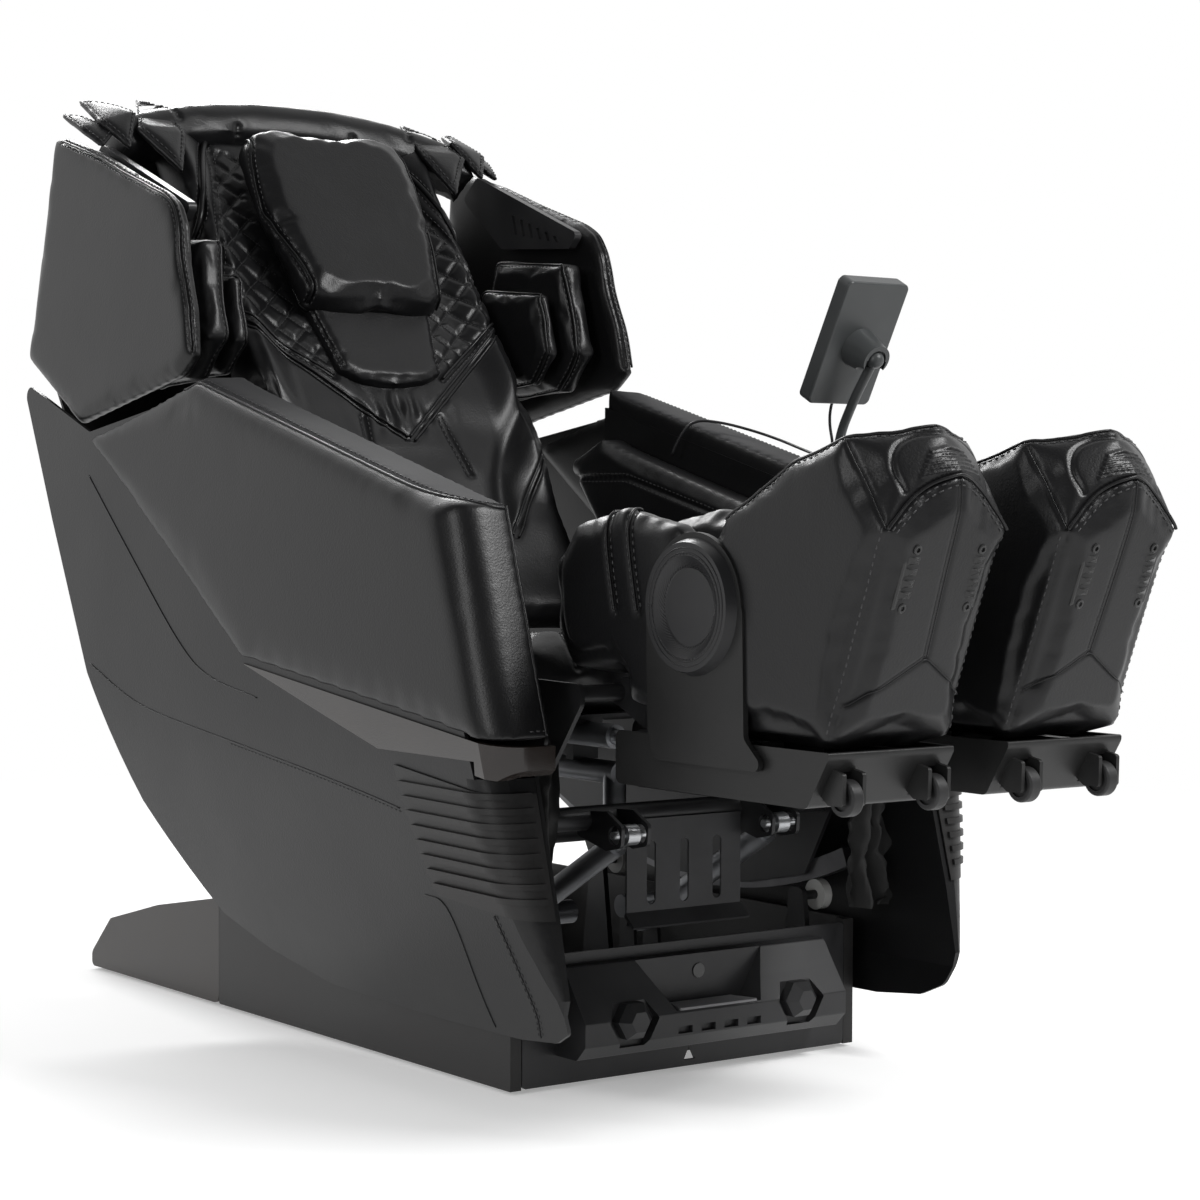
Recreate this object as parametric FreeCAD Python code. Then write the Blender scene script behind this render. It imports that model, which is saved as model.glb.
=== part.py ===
"""Reclining massage chair, built from separate pieces.

Millimetres.  +Z up, the sitter looks toward -Y, +X is the sitter's left.
The origin is on the floor, on the centre plane, at the middle of the base's length.
"""
import FreeCAD, Part
import math
import os

V = FreeCAD.Vector

# ---------------------------------------------------------------- driving sizes
# side housings
panel_outer = 381.0       # centre plane to the outer face of a side panel
panel_low_z = 74.0        # bottom edge of the side panels
panel_wall = 5.0          # moulded wall of the side panels
flare_top = 480.0         # height at which the side panels start to curve in
flare_radius = 880.0      # radius of that inward curve
arm_inner = 300.0         # centre plane to the inner wall of an arm
arm_rear = 30.0           # rear end of the closed arm box; behind it only a skin stands
pad_proud = 5.0           # upholstered side pad stands this far outside the panel
pad_wall = 9.0            # thickness of the side pad
corner_radius = 46.0      # rounding of the arm's front corner
armrest_thick = 26.0      # padded top of the arm
armrest_slope = 15.0      # the arm top falls toward the front, degrees
seam_gap = 4.0            # open seams between neighbouring covers
band_height = 74.0        # glossy band under the side pad
band_low_front = 391.0    # lower edge of that band round the arm's front corner
panel_corner = 40.0       # rounding of a side panel's front corner below the band
corner_ease = 0.6         # that rounding runs out this far outside the panel's faces
louvre_count = 9          # blades of a side grille
louvre_pitch = 17.0       # spacing of those blades
louvre_proud = 5.0        # how far a blade stands out of the grille plate

# cradle that rocks on curved rails
tilt_axis_y = -291.0      # centre of the curved rails
tilt_axis_z = 944.0
rail_outer = 760.0        # running radius of the rails
rail_depth = 25.0         # radial depth of a rail
rail_inner_x = 246.0      # inboard face of a rail
rail_width = 15.0
rail_front_angle = -22.0  # ends of the rails, degrees behind straight down
rail_rear_angle = 42.0
roller_radius = 20.0
roller_angle = 16.4       # rollers stand this far in front of and behind the centre
roller_pin_radius = 6.0
roller_width = 13.0
run_gap = 0.3             # a roller runs this far under its rail
pin_gap = 0.08            # radial clearance of every pin in its bore

# base
base_side_gap = 5.746       # outer face of the base covers to the inside of a side panel
base_front = -561.0
base_rear = 560.0
base_cover_seam = 160.0   # where the side cover meets the rear cover
base_wall = 4.0
base_cover_top = 168.0
foot_height = 9.0         # rubber feet lift the base off the floor
foot_radius = 17.0
chassis_inset = 24.0      # chassis rails stand this far inboard of the curved rails
chassis_tube = 40.0       # square tube of the chassis
chassis_wall = 3.0
console_half = 205.0      # moulded console across the front of the base
console_top = 150.0
hex_cap_x = 131.0
hex_cap_size = 25.0
hex_cap_z = 77.0
tray_half = 92.0          # recessed tray in the console
button_radius = 9.0
button_travel = 2.0

# seat
seat_half = 238.0         # half width of the seat cushion
seat_front = -538.0
seat_rear = -95.0
seat_front_z = 545.0
seat_rear_z = 500.0
cushion_gap = 3.0         # under and beside cushions
side_plate = 6.0          # steel side plates of the seat frame
seat_side_gap = 2.0       # seat cushion to the side plates
pan_z = 445.0             # underside of the seat pan
pan_thick = 4.0
cross_tube_radius = 15.0
hip_pad_drop = 34.0       # hip pads end this far under the arm top

# backrest
hip_y = -20.0             # recline pivot
hip_z = 470.0
back_foot_y = -84.0       # foot of the back's front surface
back_foot_z = 520.0
back_lean = 33.0          # lean of the back from upright, degrees
back_half = 236.0
pad_thick = 45.0
neck_s = 440.0            # where the back surface steps behind the pillow
head_s = 905.0
head_set = 35.0           # how far the head end lies behind the lower surface
pillow_half = 156.0
pillow_thick = 42.0
flap_half = 322.0
wing_gap = 3.0            # the wings swing inside the side panels with this gap
wing_wall = 24.0
wing_lean = 2.6           # the wings lean in toward the top, degrees
cover_wall = 5.0
cover_corner = [(345.0, 825.0), (345.0, 965.0), (225.0, 965.0)]   # cut off the cover's top corners, (x, s)
cover_side_gap = 6.0      # rear cover to the inner face of a wing
frame_rail_x = 182.0      # centre of a back rail
frame_tube = 25.0
frame_set = 130.0         # back surface to the front of the back rails
frame_top_s = 850.0
pivot_radius = 10.0       # recline and knee shafts
carriage_s = 400.0        # where the massage carriage rests
glide_gap = 0.6           # carriage to guide rail
carriage_long = 140.0
knead_radius = 30.0
knead_x = 62.0

# legs
knee_y = -650.0
knee_z = 485.0
leg_x = 131.0             # centre plane to the middle of one leg
leg_half = 92.0           # half width of the foot boot
calf_half = 83.0
calf_front = -820.0
boot_rear = -829.0
toe_corner_z = 684.0      # corners, tip and rim of the boot's toe
toe_tip_z = 741.0
toe_rim_z = 790.0
tray_wall = 4.0
tray_floor = 384.0
tray_rim = 446.0
tray_rear = -701.0
tray_front = -1040.0
bracket_thick = 7.0       # outboard bracket that carries the disc
disc_y = -856.0
disc_z = 593.0
disc_radius = 77.0
disc_thick = 12.0
wheel_radius = 20.0
wheel_width = 17.0
wheel_y = -1071.0
wheel_z = 397.0
wheel_offset = 61.0       # leg centre to a wheel's centre
slide_tube = 16.0         # square slide tubes under a calf
slide_x = 58.0            # leg centre to a slide tube
slide_gap = 0.6

# drives
leg_lever = 60.0          # knee shaft to the line of the leg drive
leg_start = 34.0          # slot angle in front of straight down, degrees
drive_pin = 5.0           # radius of every drive pin
slot_play = 3.2           # play of a drive pin in its slot
tilt_play = 6.8           # play of the tilt drive pin in its clevis
drive_rod = 9.0
drive_tube = 15.0
drive_bore = 9.6
leg_tube_front = -580.0
leg_tube_rear = -330.0
recline_lever = 110.0
recline_start = 17.5
tilt_eye_y = -590.0
tilt_eye_z = 306.0
tilt_foot_y = -302.0
tilt_foot_z = 145.0
tilt_x = 118.0
eye_radius = 13.0
ear_thick = 5.0

# remote
stalk_x = 338.0
stalk_y = -440.0
stalk_radius = 6.5
ball_y = -520.0
ball_z = 899.0
ball_radius = 12.0
tablet_half = 54.0
tablet_thick = 24.0
tablet_long = 178.0
tablet_lean = 28.0
cord_radius = 2.0
cord_clear = 4.0


# ---------------------------------------------------------------- shape helpers
def outline(points, round_by=0.0):
    """Closed wire through the points, each corner rounded as far as its sides allow."""
    count = len(points)
    if round_by <= 0:
        return Part.makePolygon(points + [points[0]])
    edges = []
    last = None
    first = None
    for i in range(count):
        before = points[i - 1]
        here = points[i]
        after = points[(i + 1) % count]
        into = (before - here).normalize()
        out = (after - here).normalize()
        half = into.getAngle(out) / 2
        reach = round_by / math.tan(half)
        reach = min(reach, (before - here).Length * 0.42, (after - here).Length * 0.42)
        radius = reach * math.tan(half)
        start = here + into * reach
        end = here + out * reach
        bisector = (into + out).normalize()
        middle = here + bisector * (radius / math.sin(half) - radius)
        if last is None:
            first = start
        else:
            edges.append(Part.LineSegment(last, start).toShape())
        edges.append(Part.Arc(start, middle, end).toShape())
        last = end
    edges.append(Part.LineSegment(last, first).toShape())
    return Part.Wire(edges)


def side_slab(points, x0, x1, round_by=0.0):
    """Outline in the YZ plane, given thickness from x0 to x1."""
    wire = outline([V(x0, y, z) for y, z in points], round_by)
    return Part.Face(wire).extrude(V(x1 - x0, 0, 0))


def front_slab(points, y0, y1, round_by=0.0):
    """Outline in the XZ plane, given thickness from y0 to y1."""
    wire = outline([V(x, y0, z) for x, z in points], round_by)
    return Part.Face(wire).extrude(V(0, y1 - y0, 0))


def box(x0, x1, y0, y1, z0, z1):
    return Part.makeBox(x1 - x0, y1 - y0, z1 - z0, V(x0, y0, z0))


def pin(start, end, radius):
    return Part.makeCylinder(radius, (end - start).Length, start, end - start)


def pin_x(x0, x1, y, z, radius):
    return pin(V(x0, y, z), V(x1, y, z), radius)


def pipe(start, end, radius, bore):
    return pin(start, end, radius).cut(pin(start, end, bore))


def joined(first, *others):
    return first.fuse(list(others)).removeSplitter()


def mirrored(shape):
    return shape.mirror(V(0, 0, 0), V(1, 0, 0))


def pair(shape):
    return Part.makeCompound([shape, mirrored(shape)])


def polar(radius, degrees):
    """Point on a circle about the tilt axis, measured rearward from straight down."""
    angle = math.radians(degrees)
    return (tilt_axis_y + radius * math.sin(angle), tilt_axis_z - radius * math.cos(angle))


def slot_hole(cy, cz, angle, near, far, radius, x0, x1):
    """Radial slot seen from a pivot; the angle is measured rearward from straight down."""
    way = V(0, math.sin(math.radians(angle)), -math.cos(math.radians(angle)))
    a = V(x0, cy, cz) + way * near
    b = V(x0, cy, cz) + way * far
    across = way.cross(V(1, 0, 0)) * radius
    flat = outline([a - across, b - across, b + across, a + across])
    body = Part.Face(flat).extrude(V(x1 - x0, 0, 0))
    end_a = pin(a, a + V(x1 - x0, 0, 0), radius)
    end_b = pin(b, b + V(x1 - x0, 0, 0), radius)
    return joined(body, end_a, end_b)


parts = {}


def save(name, shape):
    parts[name] = shape


# ---------------------------------------------------------------- derived lines
pad_outer = panel_outer + pad_proud
arm_top_rear = (34.0, 880.0)
arm_top_front = (-598.0, arm_top_rear[1] - (598.0 + arm_top_rear[0]) * math.tan(math.radians(armrest_slope)))
wing_outer = panel_outer - panel_wall - wing_gap
wing_inner = wing_outer - wing_wall


def flare_x(outer, z):
    """Outer face of a side housing at height z."""
    if z >= flare_top:
        return outer
    return outer - flare_radius + math.sqrt(flare_radius ** 2 - (flare_top - z) ** 2)


base_half = flare_x(panel_outer, panel_low_z) - panel_wall - base_side_gap
plate_inner_x = seat_half + seat_side_gap
chassis_half = rail_inner_x - chassis_inset
cover_half = wing_inner - cover_side_gap


def arm_top(y):
    return arm_top_rear[1] - (arm_top_rear[0] - y) * math.tan(math.radians(armrest_slope))


def back_point(s, t):
    """Backrest coordinates: s up along the back, t rearward from its front surface."""
    lean = math.radians(back_lean)
    y = back_foot_y + s * math.sin(lean) + t * math.cos(lean)
    z = back_foot_z + s * math.cos(lean) - t * math.sin(lean)
    return (y, z)


def back_surface(z):
    return back_foot_y + (z - back_foot_z) * math.tan(math.radians(back_lean))


def flare_volume(outer, inner, y0, y1, z0, z1):
    """Solid between the plane x = inner and the flared outer face."""
    low = V(flare_x(outer, z0), y0, z0)
    mid_z = (z0 + flare_top) / 2
    mid = V(flare_x(outer, mid_z), y0, mid_z)
    knee = V(outer, y0, flare_top)
    top = V(outer, y0, z1)
    corner_top = V(inner, y0, z1)
    corner_low = V(inner, y0, z0)
    edges = [
        Part.Arc(low, mid, knee).toShape(),
        Part.LineSegment(knee, top).toShape(),
        Part.LineSegment(top, corner_top).toShape(),
        Part.LineSegment(corner_top, corner_low).toShape(),
        Part.LineSegment(corner_low, low).toShape(),
    ]
    return Part.Face(Part.Wire(edges)).extrude(V(0, y1 - y0, 0))


# ---------------------------------------------------------------- base
def base_frame():
    """Welded chassis: two long tubes, cross tubes, roller brackets and drive feet."""
    low = foot_height
    high = low + chassis_tube
    inner = chassis_half - chassis_tube
    long_tube = box(inner, chassis_half, base_front + 36, base_rear - 80, low, high)
    hollow = box(
        inner + chassis_wall,
        chassis_half - chassis_wall,
        base_front + 36,
        base_rear - 80,
        low + chassis_wall,
        high - chassis_wall,
    )
    rails = [long_tube.cut(hollow)]
    for sign in (-1, 1):
        y, z = polar(rail_outer + run_gap + roller_radius, sign * roller_angle)
        foot = [(y - 34, high), (y + 34, high), (y + 13, z + 12), (y - 13, z + 12)]
        rails.append(side_slab(foot, chassis_half - 8, chassis_half, 8))
        roller_centre = rail_inner_x + rail_width / 2
        stub_end = roller_centre + roller_width / 2 + 2
        rails.append(pin_x(chassis_half - 4, stub_end, y, z, roller_pin_radius))
    side = joined(*rails)
    pieces = [side, mirrored(side)]
    for y in (base_front + 60, tilt_foot_y, 90.0, rear_cross_y()):
        pieces.append(box(-inner - 1, inner + 1, y - 15, y + 15, low + 5, high - 5))
    for sign in (-1, 1):
        for edge in (-1, 1):
            near = eye_radius + 7
            x0 = sign * tilt_x + edge * near - ear_thick / 2
            foot = [
                (tilt_foot_y - 22, high - 6),
                (tilt_foot_y + 22, high - 6),
                (tilt_foot_y + 14, tilt_foot_z + 12),
                (tilt_foot_y - 14, tilt_foot_z + 12),
            ]
            pieces.append(side_slab(foot, x0, x0 + ear_thick, 6))
        half = eye_radius + 12
        x_mid = sign * tilt_x
        pieces.append(pin_x(x_mid - half, x_mid + half, tilt_foot_y, tilt_foot_z, drive_pin))
    return joined(*pieces)


def base_side_cover():
    y0 = base_front + 12
    y1 = base_cover_seam
    panel = [(y0, foot_height - 4), (y1, foot_height - 4), (y1, base_cover_top), (y0, base_cover_top)]
    skin = side_slab(panel, base_half - base_wall, base_half, 3)
    ledge = box(chassis_half, base_half - 1, y0 + 60, y1 - 40, foot_height, foot_height + base_wall)
    post = box(base_half - 16, base_half, y0 - 12 + 0.5, y0 + 6, foot_height - 4, base_cover_top)
    return joined(skin, ledge, post)


def base_rear_cover():
    """Rounded fairing over the rear end of a chassis tube."""
    y0 = base_cover_seam + 0.5
    top = base_cover_top - 14
    profile = [
        (y0, foot_height - 4),
        (base_rear, foot_height - 4),
        (base_rear, 26),
        (base_rear - 62, 84),
        (base_rear - 215, 122),
        (y0, top),
    ]
    solid = side_slab(profile, chassis_half - chassis_tube - 12, base_half, 14)
    shrink = base_wall
    inner_profile = [
        (y0 - 10, foot_height - 10),
        (base_rear - shrink * 2, foot_height - 10),
        (base_rear - shrink * 2, 24),
        (base_rear - 64, 84 - shrink),
        (base_rear - 216, 122 - shrink),
        (y0 - 10, top - shrink),
    ]
    hollow = side_slab(
        inner_profile, chassis_half - chassis_tube - 12 + shrink, base_half - shrink, 4
    )
    y = rear_cross_y()
    notch = box(0, chassis_half, y - 16, y + 16, 0, foot_height + chassis_tube - 4)
    return solid.cut(hollow).cut(notch)


def rear_cross_y():
    return base_rear - 110


def front_console():
    """Moulded console across the front: apron, ledge, tray recess and cap recesses."""
    back = base_front + 12
    half = base_half - 16 - 1
    apron = [(-half, 6), (half, 6), (half, base_cover_top - 4), (-half, base_cover_top - 4)]
    sheet = front_slab(apron, base_front, base_front + base_wall, 6)
    profile = [
        (back, 42),
        (-604, 42),
        (-622, 60),
        (-622, 88),
        (-600, 118),
        (-578, console_top),
        (back, console_top),
    ]
    ledge = side_slab(profile, -console_half, console_half, 4)
    body = joined(sheet, ledge)
    top = tray_half + 8
    floor_z = 90.0
    recess = Part.makeLoft(
        [
            outline([V(-tray_half + 26, -640, floor_z), V(tray_half - 26, -640, floor_z),
                     V(tray_half - 26, -578, floor_z), V(-tray_half + 26, -578, floor_z)]),
            outline([V(-top, -640, console_top + 1), V(top, -640, console_top + 1),
                     V(top, -578, console_top + 1), V(-top, -578, console_top + 1)]),
        ],
        True,
    )
    body = body.cut(recess)
    for sign in (-1, 1):
        ring = [
            V(sign * hex_cap_x + 37 * math.cos(math.radians(60 * k)), -640,
              hex_cap_z + 8 + 37 * math.sin(math.radians(60 * k)))
            for k in range(6)
        ]
        cut = Part.Face(outline(ring)).extrude(V(0, 32, 0))
        body = body.cut(cut)
    button = power_button_centre()
    bore = pin(V(button[0], button[1] - 6, button[2]), V(button[0], back + 2, button[2]), button_radius + 0.4)
    body = body.cut(bore)
    for k in range(4):
        x = -54 + 36 * k
        body = body.cut(box(x - 11, x + 11, -630, -615, 62, 71))
    notch = [(-9, 14), (9, 14), (0, 32)]
    return body.cut(front_slab(notch, base_front - 2, base_front + base_wall + 2))


def power_button_centre():
    return (0.0, -578.0, 128.0)


def power_button():
    x, y, z = power_button_centre()
    cap = pin(V(x, y - 1.5, z), V(x, y + 12, z), button_radius)
    return cap.makeFillet(0.8, [cap.Edges[0]])


def hex_caps():
    caps = []
    for sign in (-1, 1):
        rings = []
        for y, size in ((-608.0, 1.0), (-622.0, 1.0), (-634.0, 0.55)):
            corners = [
                V(sign * hex_cap_x + size * hex_cap_size * math.cos(math.radians(60 * k)), y,
                  hex_cap_z + 8 + size * hex_cap_size * math.sin(math.radians(60 * k)))
                for k in range(6)
            ]
            rings.append(outline(corners))
        base = Part.makeLoft(rings[:2], True)
        nose = Part.makeLoft(rings[1:], True)
        caps.append(joined(base, nose))
    return Part.makeCompound(caps)


def tray_plate():
    half = tray_half - 30
    plate = [(-half, -621), (half, -621), (half - 14, -581), (-half + 14, -581)]
    wire = outline([V(x, y, 90.0) for x, y in plate], 3)
    return Part.Face(wire).extrude(V(0, 0, 3))


def base_feet():
    feet = []
    for x in (-chassis_half + chassis_tube / 2, chassis_half - chassis_tube / 2):
        for y in (base_front + 70, base_rear - 100):
            feet.append(pin(V(x, y, 0), V(x, y, foot_height), foot_radius))
    return Part.makeCompound(feet)


def air_pump():
    body = box(-75, 75, -130, 40, foot_height + chassis_tube - 5 + 1, 118)
    body = body.makeFillet(8, body.Edges)
    ports = [pin(V(x, 39, 84), V(x, 62, 84), 5) for x in (-40, 0, 40)]
    return joined(body, *ports)


def control_box():
    low = foot_height + chassis_tube - 5 + 1
    case = box(-140, 140, 120, 300, low, 112)
    case = case.makeFillet(5, case.Edges)
    for k in range(9):
        x = -104 + 26 * k
        case = case.cut(box(x - 3, x + 3, 170, 260, 109, 113))
    return case


def power_inlet():
    y = base_rear - 95.0
    plate = box(-46, 46, y, y + 24, foot_height + chassis_tube - 5, 92)
    socket = box(-14, 14, y + 8, y + 26, 52, 74)
    fuse = pin(V(30, y + 12, 64), V(30, y + 26, 64), 6)
    return plate.cut(socket).cut(fuse)


def rollers(sign):
    y, z = polar(rail_outer + run_gap + roller_radius, sign * roller_angle)
    mid = rail_inner_x + rail_width / 2
    tyre = pin_x(mid - roller_width / 2, mid + roller_width / 2, y, z, roller_radius)
    hole = pin_x(mid - roller_width, mid + roller_width, y, z, roller_pin_radius + pin_gap)
    return pair(tyre.cut(hole))


# ---------------------------------------------------------------- tilt drive
def tilt_way():
    way = V(0, tilt_eye_y - tilt_foot_y, tilt_eye_z - tilt_foot_z)
    return way.normalize()


def tilt_tubes():
    way = tilt_way()
    foot = V(tilt_x, tilt_foot_y, tilt_foot_z)
    eye = V(tilt_x, tilt_eye_y, tilt_eye_z)
    mouth = eye - way * (eye_radius + 16)
    barrel = pin(foot + way, mouth, drive_tube)
    ring = pin_x(tilt_x - eye_radius + 2, tilt_x + eye_radius - 2, tilt_foot_y, tilt_foot_z, eye_radius)
    gear_case = pin(foot + way * 44, foot + way * 96, drive_tube + 6)
    motor_at = foot + way * 70
    motor = pin_x(tilt_x - 78, tilt_x, motor_at.y, motor_at.z, 15)
    body = joined(barrel, ring, gear_case, motor)
    body = body.cut(pin(foot + way * 30, mouth + way * 2, drive_bore))
    hole = pin_x(tilt_x - 40, tilt_x + 40, tilt_foot_y, tilt_foot_z, drive_pin + pin_gap)
    return pair(body.cut(hole))


def tilt_rods():
    way = tilt_way()
    foot = V(tilt_x, tilt_foot_y, tilt_foot_z)
    eye = V(tilt_x, tilt_eye_y, tilt_eye_z)
    stem = pin(foot + way * 34, eye - way * 2, drive_rod)
    ring = pin_x(tilt_x - 9, tilt_x + 9, tilt_eye_y, tilt_eye_z, eye_radius)
    cross_pin = pin_x(tilt_x - 25, tilt_x + 25, tilt_eye_y, tilt_eye_z, drive_pin)
    return pair(joined(stem, ring, cross_pin))


# ---------------------------------------------------------------- cradle
def cradle_rails():
    start = 90 + rail_front_angle
    span = rail_rear_angle - rail_front_angle
    outer = Part.makeCylinder(
        rail_outer, rail_width, V(rail_inner_x, tilt_axis_y, tilt_axis_z), V(1, 0, 0), span
    )
    inner = Part.makeCylinder(
        rail_outer - rail_depth, rail_width, V(rail_inner_x, tilt_axis_y, tilt_axis_z), V(1, 0, 0), span
    )
    rail = outer.cut(inner).Solids[0]
    middle_now = rail.CenterOfMass
    angle_now = math.degrees(math.atan2(middle_now.y - tilt_axis_y, tilt_axis_z - middle_now.z))
    want = (rail_front_angle + rail_rear_angle) / 2
    rail.rotate(V(0, tilt_axis_y, tilt_axis_z), V(1, 0, 0), want - angle_now)
    return pair(rail)


def seat_frame():
    """Steel side plates, cross tubes, seat pan, knee shaft and drive ears."""
    inner_r = rail_outer - 8
    lower = [polar(inner_r, a) for a in (-16, -6, 6, 18, 30, 38)]
    nose = [(knee_y - 16, knee_z + 12), (knee_y - 16, knee_z - 12)]
    plate = [nose[0], nose[1], (-560, 330)] + lower + [(212, 430), (60, 500), (-500, 500)]
    sheet = side_slab(plate, plate_inner_x, plate_inner_x + side_plate, 10)
    window = [(-470, 404), (-440, 306), (-120, 306), (-120, 404)]
    sheet = sheet.cut(side_slab(window, plate_inner_x - 1, plate_inner_x + side_plate + 1, 18))
    hip = pin_x(
        plate_inner_x - 42, plate_inner_x + side_plate, hip_y, hip_z, pivot_radius
    )
    side = joined(sheet, hip)
    pieces = [side, mirrored(side)]
    reach = arm_inner - 1
    for y, z in ((-530.0, 322.0), (-300.0, 275.0), (100.0, 345.0)):
        half = reach if z > 300 else plate_inner_x + 1
        pieces.append(pin_x(-half, half, y, z, cross_tube_radius))
    shaft_half = plate_inner_x + side_plate
    pieces.append(pin_x(-shaft_half, shaft_half, knee_y, knee_z, pivot_radius))
    pieces.append(box(-plate_inner_x - 1, plate_inner_x + 1, -532, -110, pan_z, pan_z + pan_thick))
    for sign in (-1, 1):
        for edge in (-1, 1):
            x_mid = sign * tilt_x + edge * 20
            ear = [(-514, 330), (-514, 300), (-574, 286), (-604, 292), (-606, 318), (-574, 334)]
            slab = side_slab(ear, x_mid - ear_thick / 2, x_mid + ear_thick / 2, 8)
            window = pin_x(x_mid - 10, x_mid + 10, tilt_eye_y, tilt_eye_z, drive_pin + tilt_play)
            pieces.append(slab.cut(window))
    for x in (-leg_x, leg_x):
        for y in (leg_tube_front + 62, leg_tube_rear - 20):
            pieces.append(box(x - 20, x + 20, y - 8, y + 8, leg_line() + drive_tube - 2, pan_z + 1))
    for y in (-150.0, -330.0):
        pieces.append(box(-20, 20, y - 8, y + 8, recline_line() + drive_tube - 2, pan_z + 1))
    body = joined(*pieces)
    for x in (-leg_x, leg_x):
        body = body.cut(pin(V(x, -700, leg_line()), V(x, -300, leg_line()), drive_tube))
    return body.cut(pin(V(0, -420, recline_line()), V(0, -100, recline_line()), drive_tube))


def leg_line():
    return knee_z - leg_lever


def recline_line():
    return hip_z - recline_lever


def actuator_tubes():
    """Fixed drive tubes with their gear motors: one for each leg, one for the backrest."""
    tubes = []
    for x in (-leg_x, leg_x):
        front = V(x, leg_tube_front, leg_line())
        rear = V(x, leg_tube_rear, leg_line())
        barrel = pipe(front, rear, drive_tube, drive_bore)
        cap = pin(rear, rear + V(0, 14, 0), drive_tube)
        motor = pin(rear + V(0, 2, 0), rear + V(0, 2, -62), 15)
        tubes.append(joined(barrel, cap, motor))
    front = V(0, -400, recline_line())
    rear = V(0, -130, recline_line())
    barrel = pipe(front, rear, drive_tube, drive_bore)
    cap = pin(front - V(0, 14, 0), front, drive_tube)
    motor = pin(front - V(0, 2, 0), front - V(0, 2, 62), 15)
    tubes.append(joined(barrel, cap, motor))
    return Part.makeCompound(tubes)


def leg_rod(x):
    travel_start = knee_y - leg_lever * math.tan(math.radians(leg_start))
    eye = V(x, travel_start, leg_line())
    stem = pin(eye, V(x, leg_tube_rear - 102, leg_line()), drive_rod)
    cross_pin = pin_x(x - 20, x + 20, eye.y, eye.z, drive_pin)
    return joined(stem, cross_pin)


def recline_rod():
    travel_start = hip_y + recline_lever * math.tan(math.radians(recline_start))
    eye = V(0, travel_start, recline_line())
    stem = pin(V(0, -300, recline_line()), eye, drive_rod)
    cross_pin = pin_x(-22, 22, eye.y, eye.z, drive_pin)
    return joined(stem, cross_pin)


# ---------------------------------------------------------------- arms
pad_lines = {
    "notch": (335.0, 806.0),
    "rear_low": (-102.0, 503.0),
    "front_low": (-694.0, 434.0),
}


def front_edge(z):
    """Front silhouette of an arm: leans forward as it comes down."""
    top_y = -606.0
    top_z = arm_top_front[1]
    low_y, low_z = pad_lines["front_low"]
    return top_y + (low_y - top_y) * (top_z - z) / (top_z - low_z)


panel_front = [(-712.0, 104.0), (-723.0, 141.0), (-704.0, 226.0), (-658.0, band_low_front)]


def panel_front_y(z):
    """Front face of a side panel below the band."""
    for (y0, z0), (y1, z1) in zip(panel_front[1:], panel_front[2:]):
        if z <= z1:
            break
    return y0 + (y1 - y0) * (max(z, z0) - z0) / (z1 - z0)


def corner_volume(outset):
    """All that lies behind a panel's front and inside its outer face, its corner rounded."""
    wires = []
    for z in (64.0, 103.0, 141.0, 183.0, 226.0, 284.0, 342.0, 400.0):
        x = flare_x(panel_outer, z) + outset
        y = panel_front_y(z) - outset
        radius = max(4.0, min(panel_corner, (x - arm_inner) * 0.8)) + outset
        middle = V(x - radius + radius * math.sqrt(0.5), y + radius - radius * math.sqrt(0.5), z)
        edges = [
            Part.LineSegment(V(240, -300, z), V(240, y, z)).toShape(),
            Part.LineSegment(V(240, y, z), V(x - radius, y, z)).toShape(),
            Part.Arc(V(x - radius, y, z), middle, V(x, y + radius, z)).toShape(),
            Part.LineSegment(V(x, y + radius, z), V(x, -300, z)).toShape(),
            Part.LineSegment(V(x, -300, z), V(240, -300, z)).toShape(),
        ]
        wires.append(Part.Wire(edges))
    return Part.makeLoft(wires, True, True)


def side_pad():
    """Upholstered pad on the upper half of an arm, wrapped round its front corner."""
    top_rear = (arm_top_rear[0], arm_top(arm_top_rear[0]) - armrest_thick)
    top_front = (front_edge(690), arm_top(front_edge(690)) - armrest_thick)
    points = [
        pad_lines["notch"],
        top_rear,
        top_front,
        pad_lines["front_low"],
        pad_lines["rear_low"],
    ]
    block = side_slab(points, arm_inner, pad_outer)
    edges = [
        e for e in block.Edges
        if abs(e.CenterOfMass.x - pad_outer) < 1 and e.CenterOfMass.y < -600 and e.BoundBox.ZLength > 100
    ]
    block = block.makeFillet(corner_radius, edges)
    inner_points = [
        (520, 930),
        (520, 380),
        (pad_lines["front_low"][0] + pad_wall, 380),
        (pad_lines["front_low"][0] + pad_wall, pad_lines["front_low"][1]),
        (front_edge(690) + pad_wall, 930),
    ]
    cavity = side_slab(inner_points, arm_inner - 1, panel_outer + 0.2)
    edges = [
        e for e in cavity.Edges
        if abs(e.CenterOfMass.x - (panel_outer + 0.2)) < 1
        and e.CenterOfMass.y < -580
        and e.BoundBox.ZLength > 100
    ]
    cavity = cavity.makeFillet(corner_radius - pad_wall, edges)
    return block.cut(cavity)


def armrest_pad():
    rear_y = arm_top_rear[0]
    front_y = front_edge(700) + 4
    low = armrest_thick - seam_gap / 2
    points = [
        (rear_y, arm_top(rear_y)),
        (rear_y, arm_top(rear_y) - low),
        (front_y, arm_top(front_y) - low),
        (front_y, arm_top(front_y)),
    ]
    slab = side_slab(points, arm_inner + 4, pad_outer - 2)
    edges = [e for e in slab.Edges if e.BoundBox.YLength > 300 and e.CenterOfMass.z > arm_top(-285) - 8]
    return slab.makeFillet(9, edges)


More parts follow.
